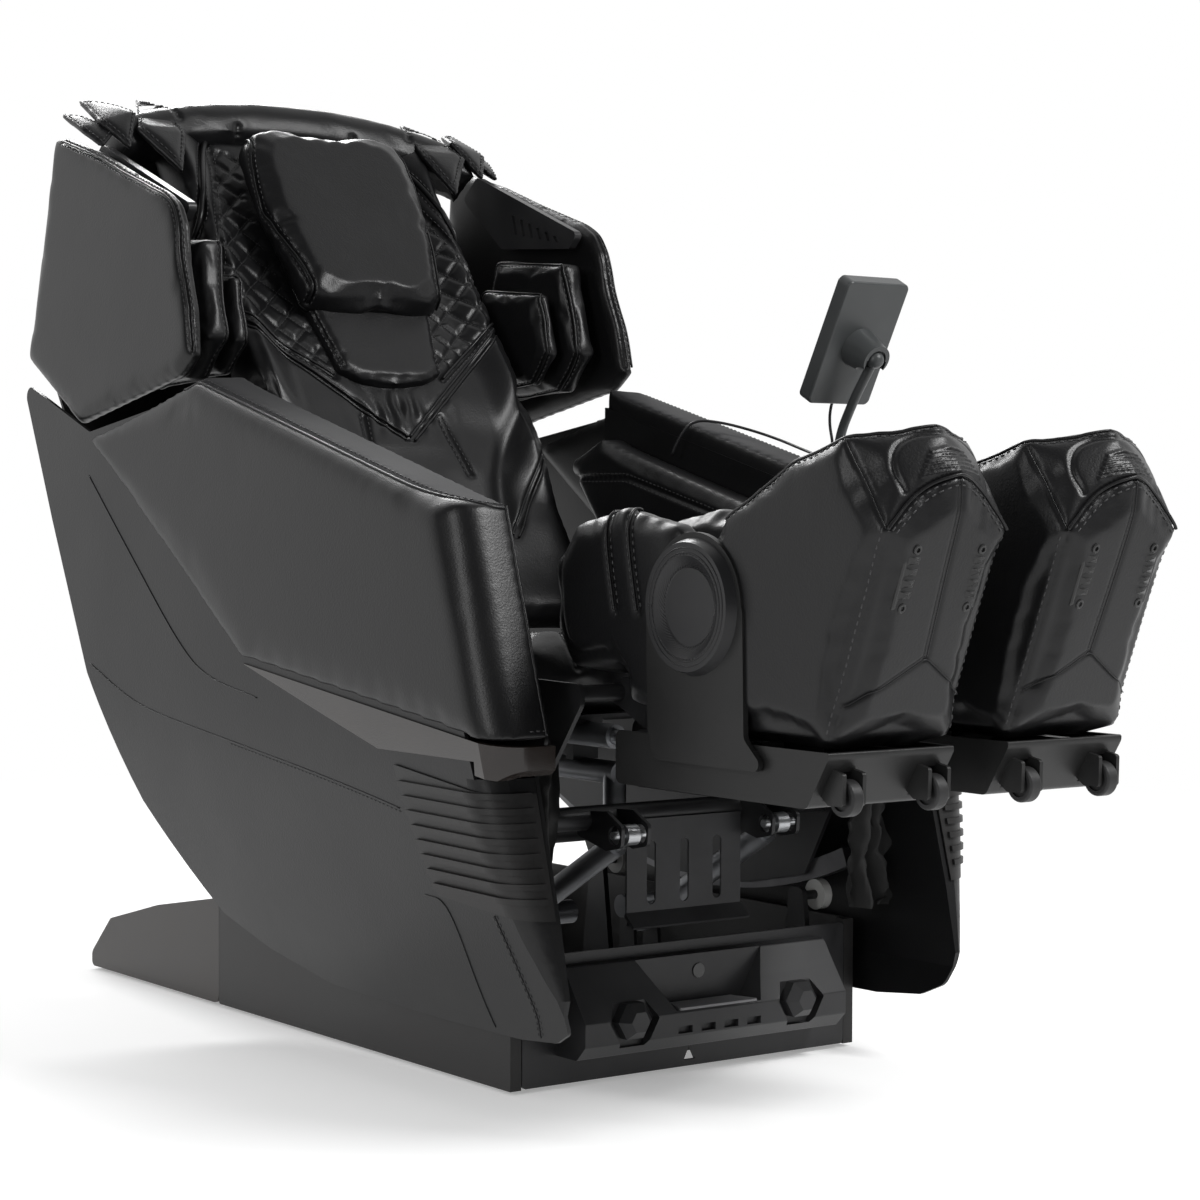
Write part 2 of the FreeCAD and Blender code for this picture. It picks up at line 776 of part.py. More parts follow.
def side_panel():
    """Moulded housing of one arm: a closed box in front, only a skin behind."""
    rear_arc = [polar(871, a) for a in (-4, 8, 17, 24)]
    edge = [
        (-678, 84),
        (-600, 76),
        (-450, panel_low_z),
    ] + rear_arc + [
        (215, 291),
        (349, 464),
        (462, 681),
        (561, 886),
        (pad_lines["notch"][0] + seam_gap, pad_lines["notch"][1]),
        (arm_top_rear[0], arm_top(arm_top_rear[0]) - armrest_thick - seam_gap),
        (front_edge(690) + pad_wall + 6, arm_top(-590) - armrest_thick - seam_gap),
        (pad_lines["front_low"][0] + pad_wall + 6, pad_lines["front_low"][1]),
        (-656, 400),
        (-704, 226),
        (-723, 141),
        (-712, 100),
    ]
    rear_limit = 620
    low = panel_low_z - 10
    shape = side_slab(edge, 260, panel_outer + 1, 14)
    housing = flare_volume(panel_outer, 200, -760, rear_limit, low, 920)
    core = flare_volume(panel_outer - panel_wall, 199, -761, rear_limit + 1, low - 1, 921)
    skin = housing.cut(core).common(shape)
    inner_wall = box(arm_inner, arm_inner + panel_wall, -760, arm_rear, 60, 930)
    rear_wall = box(arm_inner, panel_outer, arm_rear - panel_wall, arm_rear, 160, 930)
    walls = inner_wall.fuse(rear_wall).common(shape).common(housing)
    low_y = pad_lines["front_low"][0]
    corner = [
        (front_edge(900) - 20, 900),
        (low_y - 20, band_low_front),
        (low_y + corner_radius + pad_wall, band_low_front),
        (front_edge(900) + corner_radius + pad_wall, 900),
    ]
    skin = skin.cut(side_slab(corner, arm_inner + panel_wall + 1, panel_outer + 1))
    post = [(y + 50, z) for y, z in panel_front] + list(reversed(panel_front))
    post = side_slab(post, arm_inner, panel_outer + 1).common(housing)
    panel = joined(skin, walls, post)
    around = box(arm_inner - 1, panel_outer + 20, -800, -560, panel_front[0][1], band_low_front)
    return panel.cut(around.cut(corner_volume(corner_ease)))


def trim_band():
    """Glossy band under the side pad, from its point round the arm's front corner."""
    low_y, low_z = pad_lines["rear_low"]
    front_y, front_z = pad_lines["front_low"]
    face_y = front_y + 2
    points = [
        (low_y - 8, low_z - seam_gap),
        (face_y, front_z - seam_gap),
        (face_y, band_low_front + 12),
        (face_y + 14, band_low_front + 1),
        (-620, band_low_front + 9),
        (-470, front_z - 30),
    ]
    outer = flare_volume(panel_outer + 3, arm_inner, -760, 0, 300, 560)
    rim = box(panel_outer + 3 - corner_radius, panel_outer + 10, -760, face_y + corner_radius, 300, 560)
    rounding = Part.makeCylinder(
        corner_radius, 260, V(panel_outer + 3 - corner_radius, face_y + corner_radius, 300)
    )
    outer = outer.cut(rim.cut(rounding))
    room = box(arm_inner - 1, panel_outer + 0.4, face_y + corner_radius, 1, 299, 561)
    inner_side = panel_outer + 0.4 - corner_radius
    inner_front = box(arm_inner - 1, inner_side, face_y + pad_wall, face_y + corner_radius + 1, 299, 561)
    bend = Part.makeCylinder(corner_radius - pad_wall, 262, V(inner_side, face_y + corner_radius, 299))
    return outer.cut(room).cut(inner_front).cut(bend).common(side_slab(points, arm_inner, panel_outer + 4))


def vent_grille():
    """Louvred plate below the band, wrapped round the front corner of an arm."""
    outline_points = [(-470, 396), (-648, 376), (-700, 370), (-740, 228), (-690, 232), (-525, 243)]
    plate = corner_volume(2.5 + corner_ease).cut(corner_volume(2 * corner_ease))
    plate = plate.common(side_slab(outline_points, arm_inner + 8, panel_outer + 4))
    blades = []
    top = 382.0
    for k in range(louvre_count - 1):
        z = top - louvre_pitch * k - 8
        rear_y = -484 - 0.36 * (top - z) + 6
        front_y = -646 - 0.27 * (top - z) + 8
        blade = [
            (rear_y, z - 3.5),
            (front_y, z - 5.5),
            (front_y - 90, z - 5.5),
            (front_y - 90, z + 1.5),
            (front_y, z + 1.5),
            (rear_y, z + 3.5),
        ]
        volume = corner_volume(2 + louvre_proud).cut(corner_volume(1.2))
        blades.append(volume.common(side_slab(blade, arm_inner + 16, panel_outer + 12)))
    return joined(plate, *blades)


def hip_pads():
    """Air cushions on the inner walls of the arms."""
    gap = 14
    low = pan_z + pan_thick + cushion_gap
    rear_low = back_surface(seat_rear_z + 30) - gap - 12
    top_rear_z = 772.0
    rear_top = back_surface(top_rear_z) - gap
    points = [
        (seat_front + 6, low + 30),
        (rear_low, low + 30),
        (rear_low, seat_rear_z + 30),
        (rear_top, top_rear_z),
        (-20, arm_top(-20) - hip_pad_drop - 20),
        (seat_front + 6, arm_top(seat_front) - hip_pad_drop - 20),
    ]
    pad = side_slab(points, plate_inner_x + side_plate + 1, arm_inner - 2, 14)
    return pair(pad)


def seat_cushion():
    low = pan_z + pan_thick + 0.5
    points = [
        (seat_front, seat_front_z),
        (seat_front, low),
        (seat_rear, low),
        (seat_rear, seat_rear_z),
        (seat_rear - 150, seat_rear_z - 2),
    ]
    return side_slab(points, -seat_half, seat_half, 16)


def guard_plate():
    """Slotted steel plate with a turned-up lip, hung from the front cross tube."""
    front = -546.0
    sheet = box(-90, 90, front - 3, front, 196, 318)
    for x in (-52, 0, 52):
        slot = joined(
            box(x - 7, x + 7, front - 5, front + 2, 218, 284),
            pin(V(x, front - 5, 218), V(x, front + 2, 218), 7),
            pin(V(x, front - 5, 284), V(x, front + 2, 284), 7),
        )
        sheet = sheet.cut(slot)
    lip = [(front, 199), (front - 18, 184), (front - 20, 187), (front - 3, 203)]
    return joined(sheet, side_slab(lip, -92, 92))


# ---------------------------------------------------------------- backrest
def back_slab(points, x0, x1, round_by=0.0):
    return side_slab([back_point(s, t) for s, t in points], x0, x1, round_by)


def back_frame():
    """Two guide rails for the massage carriage, tied by cross tubes behind them."""
    rear = frame_set + frame_tube
    rail = back_slab(
        [(-40, frame_set), (frame_top_s, frame_set), (frame_top_s, rear), (-40, rear)],
        frame_rail_x - frame_tube / 2,
        frame_rail_x + frame_tube / 2,
        4,
    )
    bracket = back_slab(
        [(-44, rear), (-44, 62), (34, 62), (90, rear)], frame_rail_x + frame_tube / 2 - 1, 205, 10
    )
    side = joined(rail, bracket, pin_x(204, 222, hip_y, hip_z, 24))
    side = side.cut(pin_x(180, 240, hip_y, hip_z, pivot_radius + pin_gap))
    pieces = [side, mirrored(side)]
    half = frame_rail_x - frame_tube / 2 + 1
    for s in (-27, 430, frame_top_s - 16):
        y, z = back_point(s, rear - (12 if s < 0 else -6))
        pieces.append(pin_x(-half - 2, half + 2, y, z, 12))
    y, z = back_point(-27, rear - 12)
    lean = math.radians(recline_start)
    far = recline_lever / math.cos(lean) + 18
    tip = (hip_y + far * math.sin(lean), hip_z - far * math.cos(lean))
    horn = [(y - 18, z + 6), (y + 16, z + 10), (tip[0] + 14, tip[1] + 12), (tip[0] + 6, tip[1] - 4),
            (tip[0] - 14, tip[1] + 2)]
    for x0 in (-17, 12):
        slab = side_slab(horn, x0, x0 + 5, 5)
        slot = slot_hole(
            hip_y, hip_z, recline_start, recline_lever - 2, recline_lever / math.cos(lean) + 2,
            drive_pin + 1.5, x0 - 1, x0 + 6,
        )
        pieces.append(slab.cut(slot))
    return joined(*pieces)


def back_pad():
    points = [
        (20, 0),
        (neck_s, 0),
        (head_s, head_set),
        (head_s, head_set + pad_thick),
        (neck_s, pad_thick + 8),
        (20, pad_thick),
    ]
    return back_slab(points, -back_half, back_half, 12)


def pillow():
    gap = 2.0
    points = [
        (neck_s + 90, -pillow_thick + 6),
        (head_s - 30, head_set - pillow_thick - 4),
        (head_s - 12, head_set - gap - 6),
        (neck_s + 96, 5),
    ]
    return back_slab(points, -pillow_half, pillow_half, 9)


def head_flaps():
    """Leather flaps that hang over the top edge of the backrest."""
    points = [
        (head_s - 60, head_set + pad_thick + cushion_gap),
        (head_s + cushion_gap, head_set + pad_thick + cushion_gap),
        (head_s + cushion_gap, head_set - 4),
        (head_s + 22, head_set + 4),
        (head_s + 30, head_set + 60),
        (head_s - 20, head_set + 104),
    ]
    return back_slab(points, -flap_half, flap_half, 7)


def back_cover():
    """Moulded rear shell of the backrest."""
    line = [(952, 70), (890, 180), (764, 292), (655, 322), (520, 318)]
    inner = [(s + 2, t - cover_wall) for s, t in reversed(line)]
    wide = back_slab(line + inner, -cover_half, cover_half)
    low_line = [(522, 318), (330, 262), (120, 205)]
    low_inner = [(s, t - cover_wall) for s, t in reversed(low_line)]
    narrow = back_slab(low_line + low_inner, -frame_rail_x - 20, frame_rail_x + 20)
    ribs = []
    for x in (-frame_rail_x, frame_rail_x):
        rear = frame_set + frame_tube
        rib = [(frame_top_s - 30, rear), (frame_top_s - 30, 235), (500, 315), (440, rear)]
        ribs.append(back_slab(rib, x - 3, x + 3))
    for sign in (-1, 1):
        corner = [(sign * x, s) for x, s in cover_corner]
        points = [back_point(s, -10) for x, s in corner]
        points = [V(x, y, z) for (x, s), (y, z) in zip(corner, points)]
        across = back_point(0, 400)[0] - back_point(0, 0)[0]
        rise = back_point(0, 400)[1] - back_point(0, 0)[1]
        face = Part.Face(Part.makePolygon(points + [points[0]]))
        wide = wide.cut(face.extrude(V(0, across, rise)))
    return joined(wide, narrow, *ribs)


def shoulder_wing():
    """Upholstered wing beside the head and shoulders."""
    points = [
        (433, 1247),
        (500, 1250),
        (581, 999),
        (549, 900),
        (351, 832),
        (45, 909),
        (99, 1113),
    ]
    wing = side_slab(points, wing_inner, wing_outer, 16)
    wing.rotate(V(wing_outer, 0, 900), V(0, 1, 0), -wing_lean)
    arm = side_slab([(470, 1150), (540, 1000), (500, 930), (420, 1100)], cover_half - 2, wing_inner + 4, 10)
    low = box(0, wing_outer, -50, 700, 700, 1400)
    return joined(wing, arm).common(low)


def shoulder_airbags():
    """Air cushions inside the wings that press on the shoulders."""
    points = [(118, 1070), (300, 1085), (352, 960), (290, 862), (140, 872), (84, 930)]
    bag = side_slab(points, back_half + 14, wing_inner - 16, 20)
    return pair(bag)


def recess_panels():
    """Moulded panels with a small grille above the shoulder cushions."""
    points = [(150, 1092), (330, 1104), (440, 1190), (400, 1222), (128, 1114)]
    panel = side_slab(points, wing_inner - 30, wing_inner - 18, 8)
    for k in range(6):
        y = 176 + 22 * k
        cut = side_slab([(y, 1104 + k * 4), (y + 8, 1104 + k * 4), (y + 16, 1114 + 8 * k), (y + 8, 1114 + 8 * k)],
                        wing_inner - 31, wing_inner - 26)
        panel = panel.cut(cut)
    return pair(panel)


def carriage():
    """Massage carriage that climbs between the guide rails."""
    s0 = carriage_s - carriage_long / 2
    s1 = carriage_s + carriage_long / 2
    mid = frame_set + frame_tube / 2
    half = frame_rail_x - frame_tube / 2 - glide_gap
    back_plate = back_slab([(s0, mid - 2), (s1, mid - 2), (s1, mid + 4), (s0, mid + 4)], -half, half)
    pieces = [back_plate]
    for sign in (-1, 1):
        x = sign * 108
        cheek = back_slab([(s0 + 10, 100), (s1 - 10, 100), (s1, mid), (s0, mid)], x - 4, x + 4, 5)
        pieces.append(cheek)
    body = joined(*pieces)
    y, z = back_point(carriage_s, 120)
    body = body.cut(pin_x(-130, 130, y, z, 7 + pin_gap))
    window = back_slab(
        [(carriage_s - 40, mid - 6), (carriage_s + 40, mid - 6), (carriage_s + 40, mid + 8), (carriage_s - 40, mid + 8)],
        -96, 96,
    )
    return body.cut(window)


def kneading_shaft():
    y, z = back_point(carriage_s, 120)
    shaft = pin_x(-118, 118, y, z, 7)
    wheels = []
    for x in (-knead_x, knead_x):
        disc = pin_x(x - 15, x + 15, y, z, knead_radius)
        ends = [e for e in disc.Edges if e.BoundBox.XLength < 1]
        wheels.append(disc.makeFillet(6, ends))
    return joined(shaft, *wheels)


# ---------------------------------------------------------------- legs
def calf_frame(x):
    """Steel bracket of one leg: knuckles on the knee shaft, drive horn, slide tubes."""
    cheeks = []
    side = [
        (knee_y - 6, knee_z + 18),
        (knee_y + 18, knee_z),
        (knee_y, knee_z - 18),
        (-720, 436),
        (-800, 436),
        (-800, 461),
        (-722, 461),
        (-696, 498),
    ]
    for dx in (-46, 40):
        cheeks.append(side_slab(side, x + dx, x + dx + 6, 8))
    cheeks.append(pin_x(x - 46, x + 46, knee_y, knee_z, 17))
    cheeks.append(box(x - 70, x + 70, -798, -716, 440, 446))
    lean = math.radians(leg_start)
    near = leg_lever
    far = leg_lever / math.cos(lean)
    tip = far + 9
    tip_point = (knee_y - tip * math.sin(lean), knee_z - tip * math.cos(lean))
    horn = [
        (knee_y - 14, knee_z + 8),
        (knee_y + 14, knee_z - 6),
        (tip_point[0] + 16, tip_point[1] + 4),
        (tip_point[0] + 4, tip_point[1] - 6),
        (tip_point[0] - 14, tip_point[1] + 8),
    ]
    for x0 in (x - 17, x + 12):
        slab = side_slab(horn, x0, x0 + 5, 4)
        slot = slot_hole(
            knee_y, knee_z, -leg_start, near - 1, far + 1, drive_pin + slot_play, x0 - 1, x0 + 6
        )
        cheeks.append(slab.cut(slot))
    for dx in (-slide_x, slide_x):
        half = slide_tube / 2
        tube = box(x + dx - half, x + dx + half, -1030, -726, 424, 424 + slide_tube)
        cheeks.append(tube)
    body = joined(*cheeks)
    gap = pin_x(x - 12, x + 12, knee_y, knee_z, 24)
    return body.cut(pin_x(x - 120, x + 120, knee_y, knee_z, pivot_radius + pin_gap)), gap


def calf_pad(x):
    """Air cushion unit round the calf: two walls and a trough between them."""
    side = [
        (-556, 640),
        (-560, 560),
        (-590, 512),
        (-690, 512),
        (-716, 468),
        (calf_front, 468),
        (calf_front, 690),
        (-702, 712),
        (-606, 690),
    ]
    block = side_slab(side, x - calf_half, x + calf_half, 22)
    trough_half = calf_half * 0.56
    trough = front_slab(
        [(x - trough_half, 600), (x + trough_half, 600), (x + trough_half + 8, 760), (x - trough_half - 8, 760)],
        -900, -500, 20,
    )
    return block.cut(trough)


def foot_shell(x, outboard):
    """Moulded tray under one foot with the wheel forks and the side bracket."""
    half = leg_half - 2
    front_top = -1085.0
    profile = [
        (tray_rear, tray_floor),
        (tray_front, tray_floor),
        (front_top + 10, 440),
        (front_top + 10, tray_rim),
        (tray_rear, tray_rim),
    ]
    solid = side_slab(profile, x - half, x + half, 10)
    room = [
        (tray_rear + 20, tray_floor + tray_wall),
        (tray_front + 2, tray_floor + tray_wall),
        (front_top + 15, 440),
        (front_top + 15, tray_rim + 5),
        (tray_rear + 20, tray_rim + 5),
    ]
    body = solid.cut(side_slab(room, x - half + tray_wall, x + half - tray_wall))
    for dx in (-slide_x, slide_x):
        outer = slide_tube / 2 + slide_gap + 4
        inner = slide_tube / 2 + slide_gap
        for y in (-900.0, -830.0):
            block = box(x + dx - outer, x + dx + outer, y - 12, y + 12, tray_floor + 1, 424 + slide_tube + slide_gap + 3)
            hole = box(x + dx - inner, x + dx + inner, y - 14, y + 14, 424 - slide_gap, 424 + slide_tube + slide_gap)
            body = joined(body, block.cut(hole))
    for dx in (-wheel_offset, wheel_offset):
        room = box(x + dx - wheel_width / 2 - 3, x + dx + wheel_width / 2 + 3, wheel_y - 40, wheel_y + 26, 370, 424)
        body = body.cut(room)
        for edge in (-1, 1):
            mid = x + dx + edge * (wheel_width / 2 + 3 + 2.5)
            fork = [(-1052, 430), (-1084, 424), (-1083, wheel_z - 8), (-1060, wheel_z - 8), (-1034, 408)]
            body = joined(body, side_slab(fork, mid - 2.5, mid + 2.5, 4))
        axle = pin_x(x + dx - wheel_width / 2 - 6, x + dx + wheel_width / 2 + 6, wheel_y, wheel_z, 3)
        body = joined(body, axle)
    inside = x + outboard * leg_half
    outside = x + outboard * (leg_half + bracket_thick)
    plate = [
        (-769, 600),
        (-773, 452),
        (-786, 418),
        (-984, 418),
        (-945, 452),
        (-941, 600),
    ]
    low_x, high_x = sorted((inside, outside))
    bracket = side_slab(plate, low_x, high_x, 12)
    boss = pin_x(low_x, high_x, disc_y, disc_z, disc_radius + 6)
    link_x = sorted((x + outboard * (half - 3), outside - outboard * 2))
    link = box(link_x[0], link_x[1], -960, -800, 421, 440)
    return joined(body, bracket, boss, link)


def side_disc(x, outboard):
    """Round ribbed cover on the bracket."""
    inside = x + outboard * (leg_half + bracket_thick)
    outside = inside + outboard * disc_thick
    start = V(inside, disc_y, disc_z)
    disc = Part.makeCone(disc_radius, disc_radius - 5, disc_thick, start, V(outboard, 0, 0))
    dish_start = V(outside + outboard * 1, disc_y, disc_z)
    dish = Part.makeCone(disc_radius - 18, disc_radius - 34, 8, dish_start, V(-outboard, 0, 0))
    return disc.cut(dish)


def foot_pad(x):
    """Boot that holds one foot: sides, sole and toe, open at the top and rear."""
    boot = [
        (-846, 640),
        (boot_rear - 5, 520),
        (-858, 452),
        (-1077, 451),
        (-1165, 684),
        (-1186, 742),
        (-1150, 800),
        (-1010, 762),
        (-896, 700),
    ]
    block = side_slab(boot, x - leg_half + 1, x + leg_half - 1, 18)
    room = Part.makeLoft(
        [
            outline([V(x - 44, -1062, 520), V(x + 44, -1062, 520), V(x + 44, -780, 520), V(x - 44, -780, 520)]),
            outline([V(x - 50, -1096, 830), V(x + 50, -1096, 830), V(x + 50, -780, 830), V(x - 50, -780, 830)]),
        ],
        True,
    )
    for way in (-1, 1):
        corner = V(x + way * leg_half, -1163, toe_corner_z)
        tip = V(x, -1187, toe_tip_z)
        rim = V(x + way * leg_half, -1090, toe_rim_z)
        block = block.cut(half_space(corner, tip, rim, V(x, -900, 600)))
    return block.cut(room)


def half_space(a, b, c, kept):
    """A large block on the side of plane a-b-c that doesn't hold the kept point."""
    normal = (b - a).cross(c - a).normalize()
    if (kept - a).dot(normal) > 0:
        normal = normal * -1
    side = (b - a).normalize() * 400
    other = side.cross(normal)
    corners = [a + side + other, a + side - other, a - side - other, a - side + other]
    return Part.Face(outline(corners)).extrude(normal * 400)


def heel_wheel(x):
    tyre = pin_x(x - wheel_width / 2, x + wheel_width / 2, wheel_y, wheel_z, wheel_radius)
    rims = [e for e in tyre.Edges if e.BoundBox.XLength < 1]
    tyre = tyre.makeFillet(3, rims)
    groove = pin_x(x - wheel_width, x - wheel_width / 2 + 3, wheel_y, wheel_z, wheel_radius - 6)
    groove = groove.fuse(pin_x(x + wheel_width / 2 - 3, x + wheel_width, wheel_y, wheel_z, wheel_radius - 6))
    return tyre.cut(groove).cut(pin_x(x - 20, x + 20, wheel_y, wheel_z, 3 + pin_gap))


# ---------------------------------------------------------------- remote
def route_tube(points, radius, bend_share=0.45):
    """Round tube of straight runs joined by tangent arcs."""
    edges = []
    last = points[0]
    for i in range(1, len(points) - 1):
        into = points[i - 1] - points[i]
        out = points[i + 1] - points[i]
        half = into.getAngle(out) / 2
        reach = bend_share * min(into.Length, out.Length)
        into.normalize()
        out.normalize()
        bend = reach * math.tan(half)
        start = points[i] + into * reach
        end = points[i] + out * reach
        middle = points[i] + (into + out).normalize() * (bend / math.sin(half) - bend)
        edges.append(Part.LineSegment(last, start).toShape())
        edges.append(Part.Arc(start, middle, end).toShape())
        last = end
        print(f"  bend {i}: radius {bend:.1f} mm")
    edges.append(Part.LineSegment(last, points[-1]).toShape())
    path = Part.Wire(edges)
    profile = Part.Wire(Part.makeCircle(radius, points[0], points[1] - points[0]))
    tube = path.makePipeShell([profile], True, False)
    print(f"  path {path.Length:.0f} mm, volume ratio {tube.Volume / (math.pi * radius ** 2 * path.Length):.4f}")
    return tube


def stalk():
    foot = V(stalk_x, stalk_y, arm_top(stalk_y) + 0.5)
    ball = V(stalk_x, ball_y, ball_z)
    flange = Part.makeCone(20, 14, 14, foot, V(0, 0, 1))
    flange.rotate(foot, V(1, 0, 0), armrest_slope)
    points = [foot + V(0, -4, 6), foot + V(0, -12, 50), foot + V(0, -40, 96), ball + V(0, 8, -8)]
    neck = route_tube(points, stalk_radius)
    knob = Part.makeSphere(ball_radius, ball)
    return joined(flange, neck, knob)


def tablet_frame():
    """Unit vectors of the tablet: up along its face and out toward the sitter."""
    lean = math.radians(tablet_lean)
    up = V(0, -math.sin(lean), math.cos(lean))
    face = V(0, math.cos(lean), math.sin(lean))
    return up, face


def tablet():
    up, face = tablet_frame()
    ball = V(stalk_x, ball_y, ball_z)
    centre = ball + face * (ball_radius + 6 + 32) + up * 4
    half = tablet_long / 2
    corners = []
    for sx, su in ((-1, -1), (1, -1), (1, 1), (-1, 1)):
        corners.append(centre + V(sx * tablet_half, 0, 0) + up * (su * half) - face * (tablet_thick / 2))
    slab = Part.Face(outline(corners, 9)).extrude(face * tablet_thick)
    rims = [e for e in slab.Edges if abs((e.CenterOfMass - centre).dot(face)) > tablet_thick / 2 - 0.5]
    slab = slab.makeFillet(3, rims)
    neck_start = ball - face * 4
    neck_end = centre - face * (tablet_thick / 2 - 2)
    neck = Part.makeCone(21, 28, (neck_end - neck_start).Length, neck_start, face)
    socket = Part.makeSphere(ball_radius + 0.3, ball)
    entry = pin(ball - face * 30 - V(0, 0, 4), ball + face * 2, ball_radius + 3)
    below = pin(ball, ball + V(0, 75, -96), stalk_radius + 11)
    return joined(slab, neck.cut(socket).cut(entry).cut(below))


def tablet_cord():
    up, face = tablet_frame()
    ball = V(stalk_x, ball_y, ball_z)
    exit_point = ball + face * (ball_radius + 38) + up * (4 - tablet_long / 2)
    inner_x = arm_inner - 2 - cord_clear
    points = [
        exit_point,
        exit_point - up * 22,
        V(stalk_x + 4, -436, arm_top(-436) + 22),
        V(stalk_x + 12, -402, arm_top(-402) + 8),
        V(stalk_x + 20, -350, arm_top(-350) + 6),
        V(stalk_x + 24, -295, arm_top(-295) + 6),
        V(stalk_x + 16, -243, arm_top(-243) + 6),
        V(stalk_x - 8, -205, arm_top(-205) + 7),
        V(arm_inner - 4, -186, arm_top(-186) + 5),
        V(inner_x - 14, -172, arm_top(-172) - 24),
        V(inner_x - 18, -162, arm_top(-162) - 51),
    ]
    return route_tube(points, cord_radius)


# ---------------------------------------------------------------- assembly
def make_everything():
    save("base_frame", base_frame())
    save("base_side_covers", pair(base_side_cover()))
    save("base_rear_covers", pair(base_rear_cover()))
    save("base_front_console", front_console())
    save("front_hex_caps", hex_caps())
    save("base_tray_plate", tray_plate())
    save("base_feet", base_feet())
    save("power_button", power_button())
    save("power_inlet", power_inlet())
    save("air_pump", air_pump())
    save("control_box", control_box())
    save("front_rollers", rollers(-1))
    save("rear_rollers", rollers(1))
    save("tilt_tubes", tilt_tubes())
    save("tilt_rods", tilt_rods())

    save("cradle_rails", cradle_rails())
    save("seat_frame", seat_frame())
    save("actuator_tubes", actuator_tubes())
    save("guard_plate", guard_plate())
    save("seat_cushion", seat_cushion())
    save("hip_pads", hip_pads())
    for side, turn in (("left", lambda s: s), ("right", mirrored)):
        save("side_panel_" + side, turn(side_panel()))
        save("side_pad_" + side, turn(side_pad()))
        save("shoulder_wing_" + side, turn(shoulder_wing()))
    save("armrest_pads", pair(armrest_pad()))
    save("trim_bands", pair(trim_band()))
    save("vent_grilles", pair(vent_grille()))
    save("recline_rod", recline_rod())

    save("back_frame", back_frame())
    save("back_cover", back_cover())
    save("back_pad", back_pad())
    save("pillow", pillow())
    save("head_flaps", head_flaps())
    save("shoulder_airbags", shoulder_airbags())
    save("recess_panels", recess_panels())
    save("massage_carriage", carriage())
    save("kneading_shaft", kneading_shaft())

    for side, sign in (("left", 1), ("right", -1)):
        x = sign * leg_x
        save("leg_rod_" + side, leg_rod(x))
        save("calf_frame_" + side, calf_frame(x)[0])
        save("calf_pad_" + side, calf_pad(x))
        save("foot_shell_" + side, foot_shell(x, sign))
        save("side_disc_" + side, side_disc(x, sign))
        save("foot_pad_" + side, foot_pad(x))
        save("heel_wheel_outer_" + side, heel_wheel(x + sign * wheel_offset))
        save("heel_wheel_inner_" + side, heel_wheel(x - sign * wheel_offset))

    save("remote_stalk", stalk())
    save("remote_tablet", tablet())
    save("remote_cord", tablet_cord())


make_everything()
os.makedirs("parts", exist_ok=True)
for name, shape in parts.items():
    shape.exportStep("parts/" + name + ".step")
    solids = shape.Solids
    state = "ok" if shape.isValid() and solids else "BAD"
    if len(solids) > 1 or state == "BAD":
        print(f"{name}: {len(solids)} solids, {state}")
print(len(parts), "parts")
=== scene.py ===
import math

import bmesh
import bpy
import numpy as np
from mathutils import Matrix, Vector, noise
from mathutils.bvhtree import BVHTree
from mathutils.kdtree import KDTree


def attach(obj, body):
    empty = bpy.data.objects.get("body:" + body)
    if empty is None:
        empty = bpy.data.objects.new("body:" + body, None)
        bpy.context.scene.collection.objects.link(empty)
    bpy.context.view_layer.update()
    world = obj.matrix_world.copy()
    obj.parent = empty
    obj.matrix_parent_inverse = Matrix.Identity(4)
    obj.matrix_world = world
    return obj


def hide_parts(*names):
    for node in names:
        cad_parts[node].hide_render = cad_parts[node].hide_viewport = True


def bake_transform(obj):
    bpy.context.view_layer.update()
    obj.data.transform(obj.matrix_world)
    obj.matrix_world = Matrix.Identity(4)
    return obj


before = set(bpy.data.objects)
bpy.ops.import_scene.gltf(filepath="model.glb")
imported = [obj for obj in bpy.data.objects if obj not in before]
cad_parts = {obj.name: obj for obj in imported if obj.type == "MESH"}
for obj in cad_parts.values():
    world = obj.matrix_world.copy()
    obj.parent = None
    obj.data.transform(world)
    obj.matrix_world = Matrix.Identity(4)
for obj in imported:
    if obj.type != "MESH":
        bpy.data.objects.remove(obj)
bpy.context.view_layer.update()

# ------------------------------------------------------------------ camera
# A longish lens at the height of the armrests, off the chair's right front
# corner, so that the right side, the soles and the inside of the back all show.
camera_data = bpy.data.cameras.new("camera")
camera_data.lens = 83.4
camera_data.sensor_width = 36.0
camera_data.clip_end = 60.0
camera = bpy.data.objects.new("camera", camera_data)
camera.location = (-2.136, -3.276, 0.705)
heading, pitch, roll = (math.radians(a) for a in (36.3, 1.95, 0.25))
aim = Matrix.Rotation(-heading, 4, "Z") @ Matrix.Rotation(math.pi / 2 - pitch, 4, "X")
camera.matrix_world = Matrix.Translation(camera.location) @ aim @ Matrix.Rotation(roll, 4, "Z")
bpy.context.collection.objects.link(camera)
bpy.context.scene.camera = camera
bpy.context.scene.view_settings.view_transform = "Standard"


# ------------------------------------------------------------------ remote cord
# Thin round cord of the remote: PVC, about 4 mm, from the foot of the tablet over the
# left armrest and down inside the arm, where it goes into the hip padding.
def new_material(name, roughness, metallic=0.0):
    material = bpy.data.materials.new(name)
    material.use_nodes = True
    tree = material.node_tree
    shader = tree.nodes["Principled BSDF"]
    shader.inputs["Roughness"].default_value = roughness
    shader.inputs["Metallic"].default_value = metallic
    return material, tree, shader


def add_node(tree, kind, **sockets):
    made = tree.nodes.new(kind)
    for key, value in sockets.items():
        made.inputs[key.replace("_", " ")].default_value = value
    return made


def object_coords(tree):
    return tree.nodes.new("ShaderNodeTexCoord").outputs["Object"]


